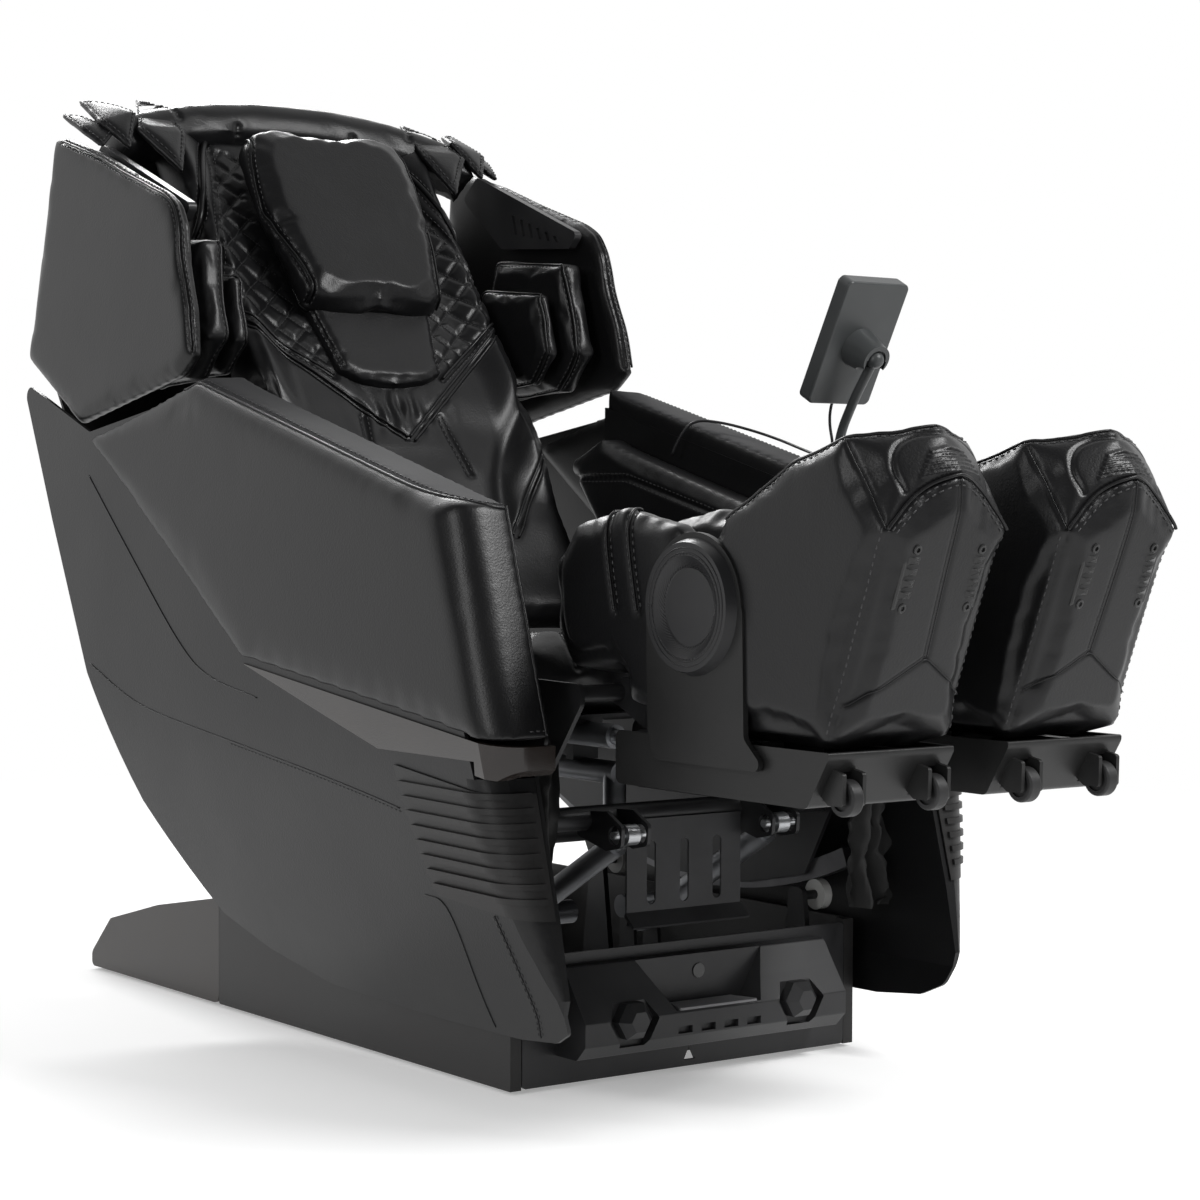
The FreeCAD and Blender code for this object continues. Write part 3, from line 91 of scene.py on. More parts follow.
def ramp(tree, source, low, high, at_low=0.35, at_high=0.65):
    made = tree.nodes.new("ShaderNodeValToRGB")
    made.color_ramp.elements[0].position = at_low
    made.color_ramp.elements[1].position = at_high
    made.color_ramp.elements[0].color = (*low, 1)
    made.color_ramp.elements[1].color = (*high, 1)
    tree.links.new(source, made.inputs["Fac"])
    return made.outputs["Color"]


def spread(tree, source, low, high):
    made = add_node(tree, "ShaderNodeMapRange", To_Min=low, To_Max=high)
    tree.links.new(source, made.inputs["Value"])
    return made.outputs["Result"]


def bump(tree, height, distance, strength, after=None):
    made = add_node(tree, "ShaderNodeBump", Distance=distance, Strength=strength)
    tree.links.new(height, made.inputs["Height"])
    if after is not None:
        tree.links.new(after, made.inputs["Normal"])
    return made.outputs["Normal"]


def clouds(tree, coords, scale, detail=4.0, distortion=0.0):
    made = add_node(tree, "ShaderNodeTexNoise", Scale=scale, Detail=detail, Distortion=distortion)
    tree.links.new(coords, made.inputs["Vector"])
    return made.outputs["Fac"]


def plastic(name, dark, light, roughness, grain=900.0, depth=0.00025, coat=0.0):
    material, tree, shader = new_material(name, roughness)
    coords = object_coords(tree)
    mottle = clouds(tree, coords, 9.0)
    tree.links.new(ramp(tree, mottle, dark, light), shader.inputs["Base Color"])
    tree.links.new(spread(tree, mottle, roughness - 0.06, roughness + 0.08), shader.inputs["Roughness"])
    cells = add_node(tree, "ShaderNodeTexVoronoi", Scale=grain)
    tree.links.new(coords, cells.inputs["Vector"])
    tree.links.new(bump(tree, cells.outputs["Distance"], depth, 0.35), shader.inputs["Normal"])
    shader.inputs["Specular IOR Level"].default_value = 0.35
    shader.inputs["Coat Weight"].default_value = coat
    shader.inputs["Coat Roughness"].default_value = 0.12
    return material


cord_rubber = plastic("cord_rubber", (0.010, 0.010, 0.011), (0.016, 0.016, 0.017), 0.42)
cord_diameter = 0.004


def linked(name, mesh, material=None):
    made = bpy.data.objects.new(name, mesh)
    bpy.context.collection.objects.link(made)
    if material is not None:
        mesh.materials.clear()
        mesh.materials.append(material)
    return made


def smooth_shaded(mesh):
    mesh.polygons.foreach_set("use_smooth", [True] * len(mesh.polygons))
    mesh.update()
    return mesh


def mesh_of(obj):
    """The evaluated mesh of an object, modifiers and curves included."""
    bpy.context.view_layer.update()
    graph = bpy.context.evaluated_depsgraph_get()
    return bpy.data.meshes.new_from_object(obj.evaluated_get(graph), depsgraph=graph)


def rod_along(name, path, radius, material, sides=10):
    """Round tube along a list of points, as one closed mesh."""
    points = [Vector(p) for p in path]
    rings = []
    side = None
    for i, point in enumerate(points):
        ahead = points[min(i + 1, len(points) - 1)] - points[max(i - 1, 0)]
        ahead.normalize()
        if side is None:
            side = ahead.orthogonal().normalized()
        side = (side - ahead * side.dot(ahead)).normalized()
        across = ahead.cross(side)
        rings.append(
            [
                point + (side * math.cos(a) + across * math.sin(a)) * radius
                for a in (2 * math.pi * k / sides for k in range(sides))
            ]
        )
    verts = [v for ring in rings for v in ring]
    faces = []
    for i in range(len(rings) - 1):
        for k in range(sides):
            a, b = i * sides + k, i * sides + (k + 1) % sides
            faces.append((a, b, b + sides, a + sides))
    faces.append(tuple(reversed(range(sides))))
    faces.append(tuple(range(len(verts) - sides, len(verts))))
    mesh = bpy.data.meshes.new(name)
    mesh.from_pydata(verts, [], faces)
    smooth_shaded(mesh)
    return linked(name, mesh, material)


cord_route = [
    (0.338, -0.4360, 0.8474),
    (0.338, -0.4257, 0.8280),
    (0.342, -0.4360, 0.7770),
    (0.350, -0.4020, 0.7715),
    (0.358, -0.3500, 0.7833),
    (0.362, -0.2950, 0.7980),
    (0.354, -0.2430, 0.8120),
    (0.330, -0.2050, 0.8232),
    (0.296, -0.1860, 0.8265),
    (0.280, -0.1720, 0.8010),
    (0.276, -0.1620, 0.7765),
]
line_data = bpy.data.curves.new("cord_line", "CURVE")
line_data.dimensions = "3D"
line_data.resolution_u = 12
spline = line_data.splines.new("NURBS")
spline.points.add(len(cord_route) - 1)
for spot, point in zip(spline.points, cord_route):
    spot.co = (*point, 1)
spline.order_u = 3
spline.use_endpoint_u = True
line_object = linked("cord_line", line_data)
cord_path = [v.co.copy() for v in mesh_of(line_object).vertices]
bpy.data.objects.remove(line_object)
remote_cord = rod_along("remote_cord_sleeve", cord_path, cord_diameter / 2, cord_rubber, 12)
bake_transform(remote_cord)
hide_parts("remote_cord")


# ------------------------------------------------------------------ chassis
# Welded ladder frame of square steel tube, powder coated black, with the roller
# brackets and the drive feet; rubber feet are screwed under it.
def coated_steel(name, dark, light, roughness):
    material, tree, shader = new_material(name, roughness, 0.35)
    coords = object_coords(tree)
    dust = clouds(tree, coords, 14.0, 6.0)
    tree.links.new(ramp(tree, dust, dark, light, 0.4, 0.75), shader.inputs["Base Color"])
    tree.links.new(spread(tree, dust, roughness - 0.08, roughness + 0.12), shader.inputs["Roughness"])
    orange_peel = clouds(tree, coords, 420.0, 2.0)
    tree.links.new(bump(tree, orange_peel, 0.0003, 0.3), shader.inputs["Normal"])
    return material


def worked_metal(name, dark, light, roughness, along=(1.0, 1.0, 30.0)):
    """Bare metal with faint lines from drawing or grinding."""
    material, tree, shader = new_material(name, roughness, 0.9)
    coords = object_coords(tree)
    stretched = add_node(tree, "ShaderNodeMapping", Scale=along)
    tree.links.new(coords, stretched.inputs["Vector"])
    lines = clouds(tree, stretched.outputs["Vector"], 60.0, 3.0)
    stain = clouds(tree, coords, 11.0, 5.0)
    tree.links.new(ramp(tree, stain, dark, light), shader.inputs["Base Color"])
    tree.links.new(spread(tree, lines, roughness - 0.07, roughness + 0.1), shader.inputs["Roughness"])
    tree.links.new(bump(tree, lines, 0.0002, 0.25), shader.inputs["Normal"])
    return material


def dress(node, material, bevel=0.0):
    """Gives a CAD node its finish, and a small edge radius where it has one."""
    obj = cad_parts[node]
    obj.data.materials.clear()
    obj.data.materials.append(material)
    if bevel:
        edge = obj.modifiers.new("edge_radius", "BEVEL")
        edge.width = bevel
        edge.segments = 2
        edge.limit_method = "ANGLE"
        edge.angle_limit = math.radians(40)
        edge.use_clamp_overlap = True
        edge.harden_normals = True
    return obj


frame_paint = coated_steel("frame_paint", (0.012, 0.012, 0.013), (0.024, 0.024, 0.025), 0.4)
foot_rubber = plastic("foot_rubber", (0.009, 0.009, 0.009), (0.014, 0.014, 0.014), 0.7, 300.0, 0.0005)
dress("base_frame", frame_paint)
dress("base_feet", foot_rubber)


# ------------------------------------------------------------------ base covers
# Moulded side covers, rounded rear covers and the front console with its tray, all black
# plastic with a fine spark texture, clipped over the chassis.
cover_plastic = plastic("cover_plastic", (0.010, 0.010, 0.010), (0.016, 0.015, 0.015), 0.42)
rear_cover_plastic = plastic(
    "rear_cover_plastic", (0.014, 0.011, 0.010), (0.020, 0.016, 0.014), 0.34, coat=0.1
)
console_plastic = plastic("console_plastic", (0.014, 0.014, 0.015), (0.022, 0.022, 0.023), 0.36)
pale_plastic = plastic("pale_plastic", (0.14, 0.14, 0.145), (0.17, 0.17, 0.175), 0.42)
button_plastic = plastic("button_plastic", (0.014, 0.014, 0.014), (0.02, 0.02, 0.02), 0.2, coat=0.3)
dress("base_side_covers", cover_plastic)
dress("base_rear_covers", rear_cover_plastic)
dress("base_front_console", console_plastic)
dress("front_hex_caps", console_plastic)
dress("base_tray_plate", pale_plastic)
dress("power_button", button_plastic)
dress("power_inlet", cover_plastic)

# ------------------------------------------------------------------ chassis boxes
# Sheet steel case of the electronics and the cast pump under the seat.
zinc_sheet = worked_metal("zinc_sheet", (0.30, 0.31, 0.32), (0.42, 0.43, 0.44), 0.42)
pump_metal = worked_metal("pump_metal", (0.20, 0.20, 0.21), (0.30, 0.30, 0.31), 0.5)
dress("control_box", zinc_sheet)
dress("air_pump", pump_metal)

# ------------------------------------------------------------------ rails and rollers
# Rolled steel rails under the seat frame run on four nylon rollers of the chassis.
rail_steel = worked_metal("rail_steel", (0.10, 0.10, 0.105), (0.16, 0.16, 0.165), 0.35)
nylon = plastic("nylon", (0.30, 0.30, 0.29), (0.36, 0.36, 0.35), 0.4)
dress("cradle_rails", rail_steel)
dress("front_rollers", nylon)
dress("rear_rollers", nylon)

# ------------------------------------------------------------------ seat frame and drives
# Welded plates and tubes, black; aluminium drive tubes with ground steel rods; in front of
# them a slotted guard plate of folded steel.
tube_grey = worked_metal("tube_grey", (0.16, 0.165, 0.175), (0.24, 0.245, 0.255), 0.4)
rod_grey = worked_metal("rod_grey", (0.34, 0.35, 0.36), (0.46, 0.47, 0.48), 0.28)
guard_steel = coated_steel("guard_steel", (0.018, 0.018, 0.019), (0.032, 0.032, 0.034), 0.45)
dress("seat_frame", frame_paint)
dress("actuator_tubes", tube_grey)
dress("tilt_tubes", tube_grey)
for node in ("tilt_rods", "recline_rod", "leg_rod_left", "leg_rod_right"):
    dress(node, rod_grey)
dress("guard_plate", guard_steel)


# ------------------------------------------------------------------ seat cushion and hip pads
# Foam under soft black artificial leather, stitched in one piece; the hip pads line the
# arms' inner walls. The covers are inflated cloth with the seams drawn in afterwards.
def leather(name, dark, light, roughness, crease=1.0, sheen=0.0, grain=420.0):
    """Artificial leather: pebbled grain, short creases and slow changes of gloss."""
    material, tree, shader = new_material(name, roughness)
    coords = object_coords(tree)
    wear = clouds(tree, coords, 6.0, 5.0)
    tree.links.new(ramp(tree, wear, dark, light, 0.3, 0.7), shader.inputs["Base Color"])
    tree.links.new(spread(tree, wear, roughness - 0.05, roughness + 0.07), shader.inputs["Roughness"])
    pebbles = add_node(tree, "ShaderNodeTexVoronoi", Scale=grain)
    pebbles.feature = "SMOOTH_F1"
    tree.links.new(coords, pebbles.inputs["Vector"])
    fine = bump(tree, pebbles.outputs["Distance"], 0.0005, 0.25)
    folds = add_node(tree, "ShaderNodeTexNoise", Scale=26.0, Detail=8.0, Roughness=0.65, Distortion=1.8)
    tree.links.new(coords, folds.inputs["Vector"])
    ridged = tree.nodes.new("ShaderNodeMath")
    ridged.operation = "PINGPONG"
    ridged.inputs[1].default_value = 0.12
    tree.links.new(folds.outputs["Fac"], ridged.inputs[0])
    creased = bump(tree, ridged.outputs[0], 0.0022 * crease, 0.2, fine)
    rolling = clouds(tree, coords, 7.0, 2.0, 0.6)
    tree.links.new(bump(tree, rolling, 0.012 * crease, 0.12, creased), shader.inputs["Normal"])
    shader.inputs["Specular IOR Level"].default_value = 0.32
    shader.inputs["Sheen Weight"].default_value = sheen
    shader.inputs["Sheen Roughness"].default_value = 0.5
    return material


def coords_of(mesh):
    flat = np.empty(len(mesh.vertices) * 3)
    mesh.vertices.foreach_get("co", flat)
    return flat.reshape(-1, 3)


def put_coords(mesh, points):
    mesh.vertices.foreach_set("co", np.ascontiguousarray(points).ravel())
    mesh.update()


def normals_of(mesh):
    flat = np.empty(len(mesh.vertices) * 3, np.float32)
    mesh.vertex_normals.foreach_get("vector", flat)
    return flat.reshape(-1, 3).astype(float)


def relaxed(points, pairs, rounds):
    """Each point moves toward the middle of its neighbours."""
    count = np.zeros(len(points))
    np.add.at(count, pairs[:, 0], 1)
    np.add.at(count, pairs[:, 1], 1)
    for _ in range(rounds):
        total = np.zeros_like(points)
        np.add.at(total, pairs[:, 0], points[pairs[:, 1]])
        np.add.at(total, pairs[:, 1], points[pairs[:, 0]])
        points = points * 0.5 + total / count[:, None] * 0.5
    return points


def applied(obj, kind, **settings):
    """Adds one modifier, sets it and applies it."""
    modifier = obj.modifiers.new(kind.lower(), kind)
    for key, value in settings.items():
        setattr(modifier, key, value)
    made = mesh_of(obj)
    obj.modifiers.clear()
    old = obj.data
    obj.data = made
    bpy.data.meshes.remove(old)
    return obj


def form_of(name, *nodes):
    """Starting form of a cover: a copy of the CAD solids it will replace."""
    bm = bmesh.new()
    for node in nodes:
        bm.from_mesh(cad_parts[node].data)
    mesh = bpy.data.meshes.new(name)
    bm.to_mesh(mesh)
    bm.free()
    return linked(name, mesh)


def lofted(name, rings):
    """Closed form through rings that have the same number of points."""
    bm = bmesh.new()
    rows = [[bm.verts.new(point) for point in ring] for ring in rings]
    for low, high in zip(rows, rows[1:]):
        for k in range(len(low)):
            after = (k + 1) % len(low)
            bm.faces.new((low[k], low[after], high[after], high[k]))
    bm.faces.new(list(reversed(rows[0])))
    bm.faces.new(rows[-1])
    bmesh.ops.recalc_face_normals(bm, faces=bm.faces)
    mesh = bpy.data.meshes.new(name)
    bm.to_mesh(mesh)
    bm.free()
    return linked(name, mesh)


def sewn(obj, voxel=0.006, shrink=0.003, swell=0.008, rounding=6, pressure=4.0, finer=1):
    """Foam cover: the form is drawn in at its edges and swollen between them as cloth."""
    applied(obj, "REMESH", mode="VOXEL", voxel_size=voxel)
    mesh = obj.data
    pairs = np.empty(len(mesh.edges) * 2, np.int64)
    mesh.edges.foreach_get("vertices", pairs)
    pairs = pairs.reshape(-1, 2)
    put_coords(mesh, relaxed(coords_of(mesh), pairs, rounding))
    start = coords_of(mesh) - normals_of(mesh) * shrink
    put_coords(mesh, start)
    if swell:
        cloth = obj.modifiers.new("cloth", "CLOTH")
        cloth.settings.quality = 4
        cloth.settings.use_pressure = True
        cloth.settings.uniform_pressure_force = pressure
        cloth.settings.effector_weights.gravity = 0.0
        cloth.point_cache.frame_start = 1
        cloth.point_cache.frame_end = 20
        scene = bpy.context.scene
        for step in range(1, 21):
            scene.frame_set(step)
        made = mesh_of(obj)
        moved = coords_of(made) - start
        bpy.data.meshes.remove(made)
        obj.modifiers.clear()
        scene.frame_set(1)
        moved = relaxed(moved, pairs, 4)
        far = np.linalg.norm(moved, axis=1, keepdims=True)
        put_coords(mesh, start + moved * np.minimum(1.0, swell / np.maximum(far, 1e-9)))
    if finer:
        applied(obj, "SUBSURF", levels=finer)
    smooth_shaded(obj.data)
    return obj


def along(points, step=0.004, curved=False):
    """Close points on the straight runs between the given ones, or on a curve through them."""
    knots = [Vector(p) for p in points]
    if curved:
        ends = [knots[0] * 2 - knots[1]] + knots + [knots[-1] * 2 - knots[-2]]
        knots = []
        for a, b, c, d in zip(ends, ends[1:], ends[2:], ends[3:]):
            for k in range(10):
                t = k / 10
                bend = (a * 2 - b * 5 + c * 4 - d) * t * t + (b * 3 - a - c * 3 + d) * t**3
                knots.append((b * 2 + (c - a) * t + bend) * 0.5)
        knots.append(ends[-2])
    line = [knots[0]]
    for a, b in zip(knots, knots[1:]):
        count = max(1, round((b - a).length / step))
        line += [a + (b - a) * k / count for k in range(1, count + 1)]
    return line


def skin_of(*pieces):
    """Search tree over the surfaces of pieces."""
    bm = bmesh.new()
    for piece in pieces:
        bm.from_mesh(piece.data)
    tree = BVHTree.FromBMesh(bm)
    bm.free()
    return tree


def set_down(skin, line, look=None, reach=0.10):
    """Lays a line on a surface, by the shortest way or along a direction of look."""
    laid = []
    for point in line:
        if look is None:
            spot, normal, _, _ = skin.find_nearest(point)
        else:
            way = Vector(look).normalized()
            spot, normal, _, _ = skin.ray_cast(point - way * reach, way, 2 * reach)
        if spot is not None:
            laid.append((spot, normal))
    for _ in range(2):
        for k in range(1, len(laid) - 1):
            spot = (laid[k - 1][0] + laid[k][0] * 2 + laid[k + 1][0]) / 4
            normal = (laid[k - 1][1] + laid[k][1] * 2 + laid[k + 1][1]).normalized()
            laid[k] = (spot, normal)
    return laid


def drawn_in(obj, seams, width=0.004, depth=0.003):
    """Pulls the skin in along seams, as thread does."""
    spots = [spot for seam in seams for spot, _ in seam]
    near = KDTree(len(spots))
    for k, spot in enumerate(spots):
        near.insert(spot, k)
    near.balance()
    mesh = obj.data
    points = coords_of(mesh)
    normals = normals_of(mesh)
    low = np.min(spots, axis=0) - 3 * width
    high = np.max(spots, axis=0) + 3 * width
    for k in np.nonzero(np.all((points > low) & (points < high), axis=1))[0]:
        gap = near.find(points[k])[2]
        if gap < 3 * width:
            points[k] -= normals[k] * depth * math.exp(-((gap / width) ** 2))
    put_coords(mesh, points)


def beside(skin, seam, offset):
    """The same seam, moved sideways on the surface."""
    moved = []
    for k, (spot, normal) in enumerate(seam):
        ahead = seam[min(k + 1, len(seam) - 1)][0] - seam[max(k - 1, 0)][0]
        side = ahead.cross(normal).normalized()
        moved.append(spot + side * offset)
    return set_down(skin, moved)


def stitched(name, skin, seams, long=0.0055, gap=0.0035, radius=0.0008):
    """Sewing thread: one short yarn for each stitch, dipping into the skin at both ends."""
    profile = ((-0.5, 0.5, -0.7), (-0.32, 1.0, 0.3), (0.32, 1.0, 0.3), (0.5, 0.5, -0.7))
    verts, faces = [], []
    for seam in seams:
        travelled, due = 0.0, gap
        for (a, normal), (b, _) in zip(seam, seam[1:]):
            run = (b - a).length
            while run > 0 and due <= travelled + run:
                ahead = (b - a) / run
                middle = a + ahead * (due - travelled)
                side = ahead.cross(normal).normalized()
                first = len(verts)
                for u, wide, up in profile:
                    for k in range(6):
                        turn = math.pi * k / 3
                        verts.append(
                            middle + ahead * u * long + normal * radius * (up + wide * math.sin(turn))
                            + side * radius * wide * math.cos(turn)
                        )
                for row in range(3):
                    for k in range(6):
                        p = first + row * 6 + k
                        q = first + row * 6 + (k + 1) % 6
                        faces.append((p, q, q + 6, p + 6))
                faces.append(tuple(first + k for k in reversed(range(6))))
                faces.append(tuple(first + 18 + k for k in range(6)))
                due += long + gap
            travelled += run
    mesh = bpy.data.meshes.new(name)
    mesh.from_pydata(verts, [], faces)
    smooth_shaded(mesh)
    return linked(name, mesh)


def joined_mesh(name, parts):
    """Several small pieces made one."""
    bm = bmesh.new()
    for part in parts:
        bm.from_mesh(part.data)
        bpy.data.objects.remove(part)
    mesh = bpy.data.meshes.new(name)
    bm.to_mesh(mesh)
    bm.free()
    smooth_shaded(mesh)
    return linked(name, mesh)


def piped(name, seams, radius=0.002, lift=0.5):
    """Round welts sewn into seams."""
    welts = [
        rod_along(name, [spot + normal * radius * lift for spot, normal in seam], radius, None, 8)
        for seam in seams
    ]
    return joined_mesh(name, welts)


def finished(obj, material, body, nodes=()):
    """Material and body of a piece; the CAD nodes it replaces are hidden."""
    for k, layer in enumerate(material if isinstance(material, tuple) else (material,)):
        if len(obj.data.materials) > k:
            obj.data.materials[k] = layer
        else:
            obj.data.materials.append(layer)
    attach(obj, body)
    if nodes:
        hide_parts(*nodes)
    return obj


def both_sides(obj, material, body, nodes=()):
    """Finishes a right-hand piece and its mirror image on the left."""
    mesh = obj.data.copy()
    mesh.transform(Matrix.Scale(-1, 4, (1, 0, 0)))
    mesh.flip_normals()
    twin = linked(obj.name.replace("right", "left"), mesh)
    finished(obj, material, body, nodes)
    finished(
        twin, material, body.replace("right", "left"), [n.replace("right", "left") for n in nodes],
    )
    return twin


black_leather = leather("black_leather", (0.0048, 0.0048, 0.0052), (0.0070, 0.0070, 0.0076), 0.37)
taut_leather = leather("taut_leather", (0.0045, 0.0045, 0.0048), (0.0065, 0.0065, 0.0070), 0.36, crease=0.35)
suede = leather(
    "suede", (0.0045, 0.0045, 0.0056), (0.0070, 0.0070, 0.0085), 0.75, crease=0.2, sheen=0.05, grain=900.0
)
# Dark grey thread; its colour is made lighter than the leather's so that it also paints in the highlights the
# stitches catch.
thread = plastic("thread", (0.030, 0.030, 0.031), (0.050, 0.050, 0.051), 0.55, 2500.0)
seat = sewn(form_of("seat_cover", "seat_cushion"), swell=0.016)
seat_skin = skin_of(seat)
seat_seams = [
    set_down(seat_skin, along([(x, -0.53, 0.56), (x * 0.9, -0.10, 0.56)]), (0, 0, -1)) for x in (-0.15, 0.15)
]
drawn_in(seat, seat_seams, 0.006, 0.006)
finished(seat, black_leather, "cradle", ["seat_cushion"])
seat_skin = skin_of(seat)
seat_rows = [beside(seat_skin, seam, off) for seam in seat_seams for off in (-0.006, 0.006)]
finished(stitched("seat_stitches", seat_skin, seat_rows), thread, "cradle")

hips = sewn(form_of("hip_covers", "hip_pads"), swell=0.010)
hip_skin = skin_of(hips)
hip_seams = []
for side in (-1, 1):
    for low in (0.055, 0.13):
        line = [
            (side * 0.27, -0.50, 0.70 - low), (side * 0.27, -0.10, 0.80 - low),
            (side * 0.27, 0.04, 0.80 - low),
        ]
        hip_seams.append(set_down(hip_skin, along(line), (side, 0, 0)))
    for y in (-0.42, -0.30, -0.18):
        line = [(side * 0.27, y, 0.59), (side * 0.27, y - 0.03, 0.50)]
        hip_seams.append(set_down(hip_skin, along(line), (side, 0, 0)))
hip_seams = [seam for seam in hip_seams if len(seam) > 4]
drawn_in(hips, hip_seams, 0.005, 0.005)
finished(hips, black_leather, "cradle", ["hip_pads"])
hip_skin = skin_of(hips)
hip_rows = [beside(hip_skin, seam, off) for seam in hip_seams for off in (-0.005, 0.005)]
finished(stitched("hip_stitches", hip_skin, hip_rows), thread, "cradle")


# ------------------------------------------------------------------ arm covers
# One padded leather cover over the outside, the front corner and the top of each arm,
# with a suede armrest let into the top, welted and stitched round it.
def arm_form():
    """The pad's side outline at each distance from the middle, rounded to the outside."""
    inner, outer = 0.302, 0.386
    corner, edge, rim = 0.046, 0.030, 0.005
    rings = []
    for x in (
        inner, 0.32, 0.34, 0.35, 0.356, 0.362, 0.368, 0.3715, 0.3735, 0.377, 0.380, 0.383, 0.385, outer
    ):
        back = corner - math.sqrt(corner**2 - max(0.0, x - outer + corner) ** 2)
        drop = edge - math.sqrt(edge**2 - max(0.0, x - outer + edge) ** 2)
        lift = rim - math.sqrt(rim**2 - max(0.0, x - outer + rim) ** 2)
        tail = (0.335 - lift, 0.806 - drop * 0.6) if x > 0.372 else (0.034, 0.598)
        rings.append(
            [
                (-x, *tail),
                (-x, 0.034, 0.880 - drop),
                (-x, -0.606 + back, 0.708 - drop + back * 0.27),
                (-x, -0.694 + back, 0.434 + lift),
                (-x, -0.102, 0.503 + lift),
            ]
        )
    return lofted("arm_cover_right", rings)


arm = sewn(arm_form(), 0.006, 0.001, 0.003, 5)
arm_skin = skin_of(arm)
welt_line = [
    (-0.372, 0.060, 0.876),
    (-0.375, 0.030, 0.877),
    (-0.375, -0.150, 0.829),
    (-0.375, -0.330, 0.781),
    (-0.374, -0.470, 0.743),
    (-0.370, -0.525, 0.728),
    (-0.360, -0.565, 0.716),
    (-0.342, -0.592, 0.709),
    (-0.320, -0.603, 0.706),
    (-0.304, -0.605, 0.706),
]
welt_seam = set_down(arm_skin, along(welt_line, curved=True))
front_edge = set_down(arm_skin, along([(-0.304, -0.605, 0.708), (-0.304, -0.692, 0.440)]))
drawn_in(arm, [welt_seam], 0.004, 0.0022)
arm_skin = skin_of(arm)


def suede_faces(mesh):
    """The faces inside the welt on top become the second material."""
    limit = sorted((y, -x) for x, y, _ in welt_line)
    across = [p[0] for p in limit]
    reach = [p[1] for p in limit]
    for face in mesh.polygons:
        x, y, _ = face.center
        if face.normal.z > 0.6 and -x < np.interp(y, across, reach) and y < 0.20:
            face.material_index = 1


arm.data.materials.append(taut_leather)
arm.data.materials.append(suede)
suede_faces(arm.data)
both_sides(arm, (taut_leather, suede), "cradle", ["side_pad_right"])
arm_welts = piped("arm_welts_right", [beside(arm_skin, welt_seam, 0.002), front_edge], 0.0022, 0.2)
both_sides(arm_welts, taut_leather, "cradle")
arm_rows = [
    beside(arm_skin, welt_seam, -0.006),
    beside(arm_skin, front_edge, -0.008),
    set_down(arm_skin, along([(-0.304, -0.687, 0.448), (-0.338, -0.690, 0.448)])),
]
both_sides(stitched("arm_stitches_right", arm_skin, arm_rows), thread, "cradle")
for side in ("left", "right"):
    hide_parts("armrest_pads")


# ------------------------------------------------------------------ side panels
# Moulded shells covered in thin leather below the arm covers, with the gloss band, the
# louvred corner grille and stitched seams where the leather's panels meet.
panel_skin = skin_of(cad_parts["side_panel_right"])
for side in ("left", "right"):
    dress("side_panel_" + side, taut_leather)
strip_line = [(0.341, 0.744), (0.205, 0.629), (0.070, 0.520), (-0.014, 0.478), (-0.143, 0.456)]
long_line = [
    (0.335, 0.476), (0.229, 0.439), (0.134, 0.419), (-0.093, 0.392), (-0.255, 0.373), (-0.384, 0.356),
    (-0.470, 0.343),
]
low_line = [(-0.492, 0.240), (-0.529, 0.234), (-0.547, 0.191), (-0.553, 0.084)]
corner_line = [(-0.636, 0.232), (-0.652, 0.180), (-0.660, 0.120), (-0.648, 0.086)]
panel_seams = [
    set_down(panel_skin, along([(-0.37, y, z) for y, z in line], curved=True), (1, 0, 0))
    for line in (strip_line, long_line, low_line, corner_line)
]
both_sides(piped("panel_seams_right", panel_seams, 0.0009, 0.3), taut_leather, "cradle")
panel_rows = [beside(panel_skin, panel_seams[1][len(panel_seams[1]) // 2:], 0.004)]
panel_rows += [beside(panel_skin, panel_seams[3], off) for off in (-0.004, 0.004)]
both_sides(stitched("panel_stitches_right", panel_skin, panel_rows), thread, "cradle")
gloss_band = plastic("gloss_band", (0.013, 0.010, 0.009), (0.018, 0.014, 0.012), 0.16, coat=0.5)
dress("trim_bands", gloss_band)
dress("vent_grilles", cover_plastic, 0.001)


# ------------------------------------------------------------------ shoulder wings
# Padded leather wings on the backrest's sides: a broad outer panel, and a band that turns
# inward along the front edge between two double-stitched seams.
wing_lean = math.radians(2.6)


def side_form(name, outline, layers):
    """Closed form from an outline of (y, z) repeated at each (x, inset), leaning in at the top."""
    middle = [sum(p[k] for p in outline) / len(outline) for k in (0, 1)]
    rings = []
    for x, inset in layers:
        ring = []
        for y, z in outline:
            far = math.hypot(y - middle[0], z - middle[1])
            size = 1 - inset / far
            y, z = middle[0] + (y - middle[0]) * size, middle[1] + (z - middle[1]) * size
            ring.append((x + (z - 0.9) * math.tan(wing_lean), y, z))
        rings.append(ring)
    return lofted(name, rings)


wing_outline = [
    (0.508, 1.245), (0.470, 1.242), (0.359, 1.210), (0.252, 1.171), (0.150, 1.137), (0.117, 1.118),
    (0.097, 1.086), (0.085, 1.031), (0.059, 0.968), (0.046, 0.900), (0.085, 0.872), (0.240, 0.842),
    (0.390, 0.813), (0.573, 0.915),
]
wing_layers = [(-0.351, 0.006), (-0.356, 0.0), (-0.368, 0.0), (-0.3725, 0.005)]
wing = sewn(side_form("wing_cover_right", wing_outline, wing_layers), 0.005, 0.001, 0.004, 6)
wing_skin = skin_of(wing)
rim_line = [
    (0.470, 1.244),
    (0.359, 1.212),
    (0.252, 1.173),
    (0.150, 1.139),
    (0.113, 1.114),
    (0.096, 1.080),
    (0.085, 1.031),
    (0.060, 0.968),
    (0.048, 0.912),
]
outer_rim = set_down(wing_skin, along([(-0.374, y + 0.004, z) for y, z in rim_line], curved=True))
inner_rim = set_down(wing_skin, along([(-0.348, y - 0.004, z + 0.003) for y, z in rim_line[2:]], curved=True))
drawn_in(wing, [outer_rim, inner_rim], 0.0045, 0.003)
both_sides(wing, taut_leather, "backrest", ["shoulder_wing_right"])
wing_skin = skin_of(wing)
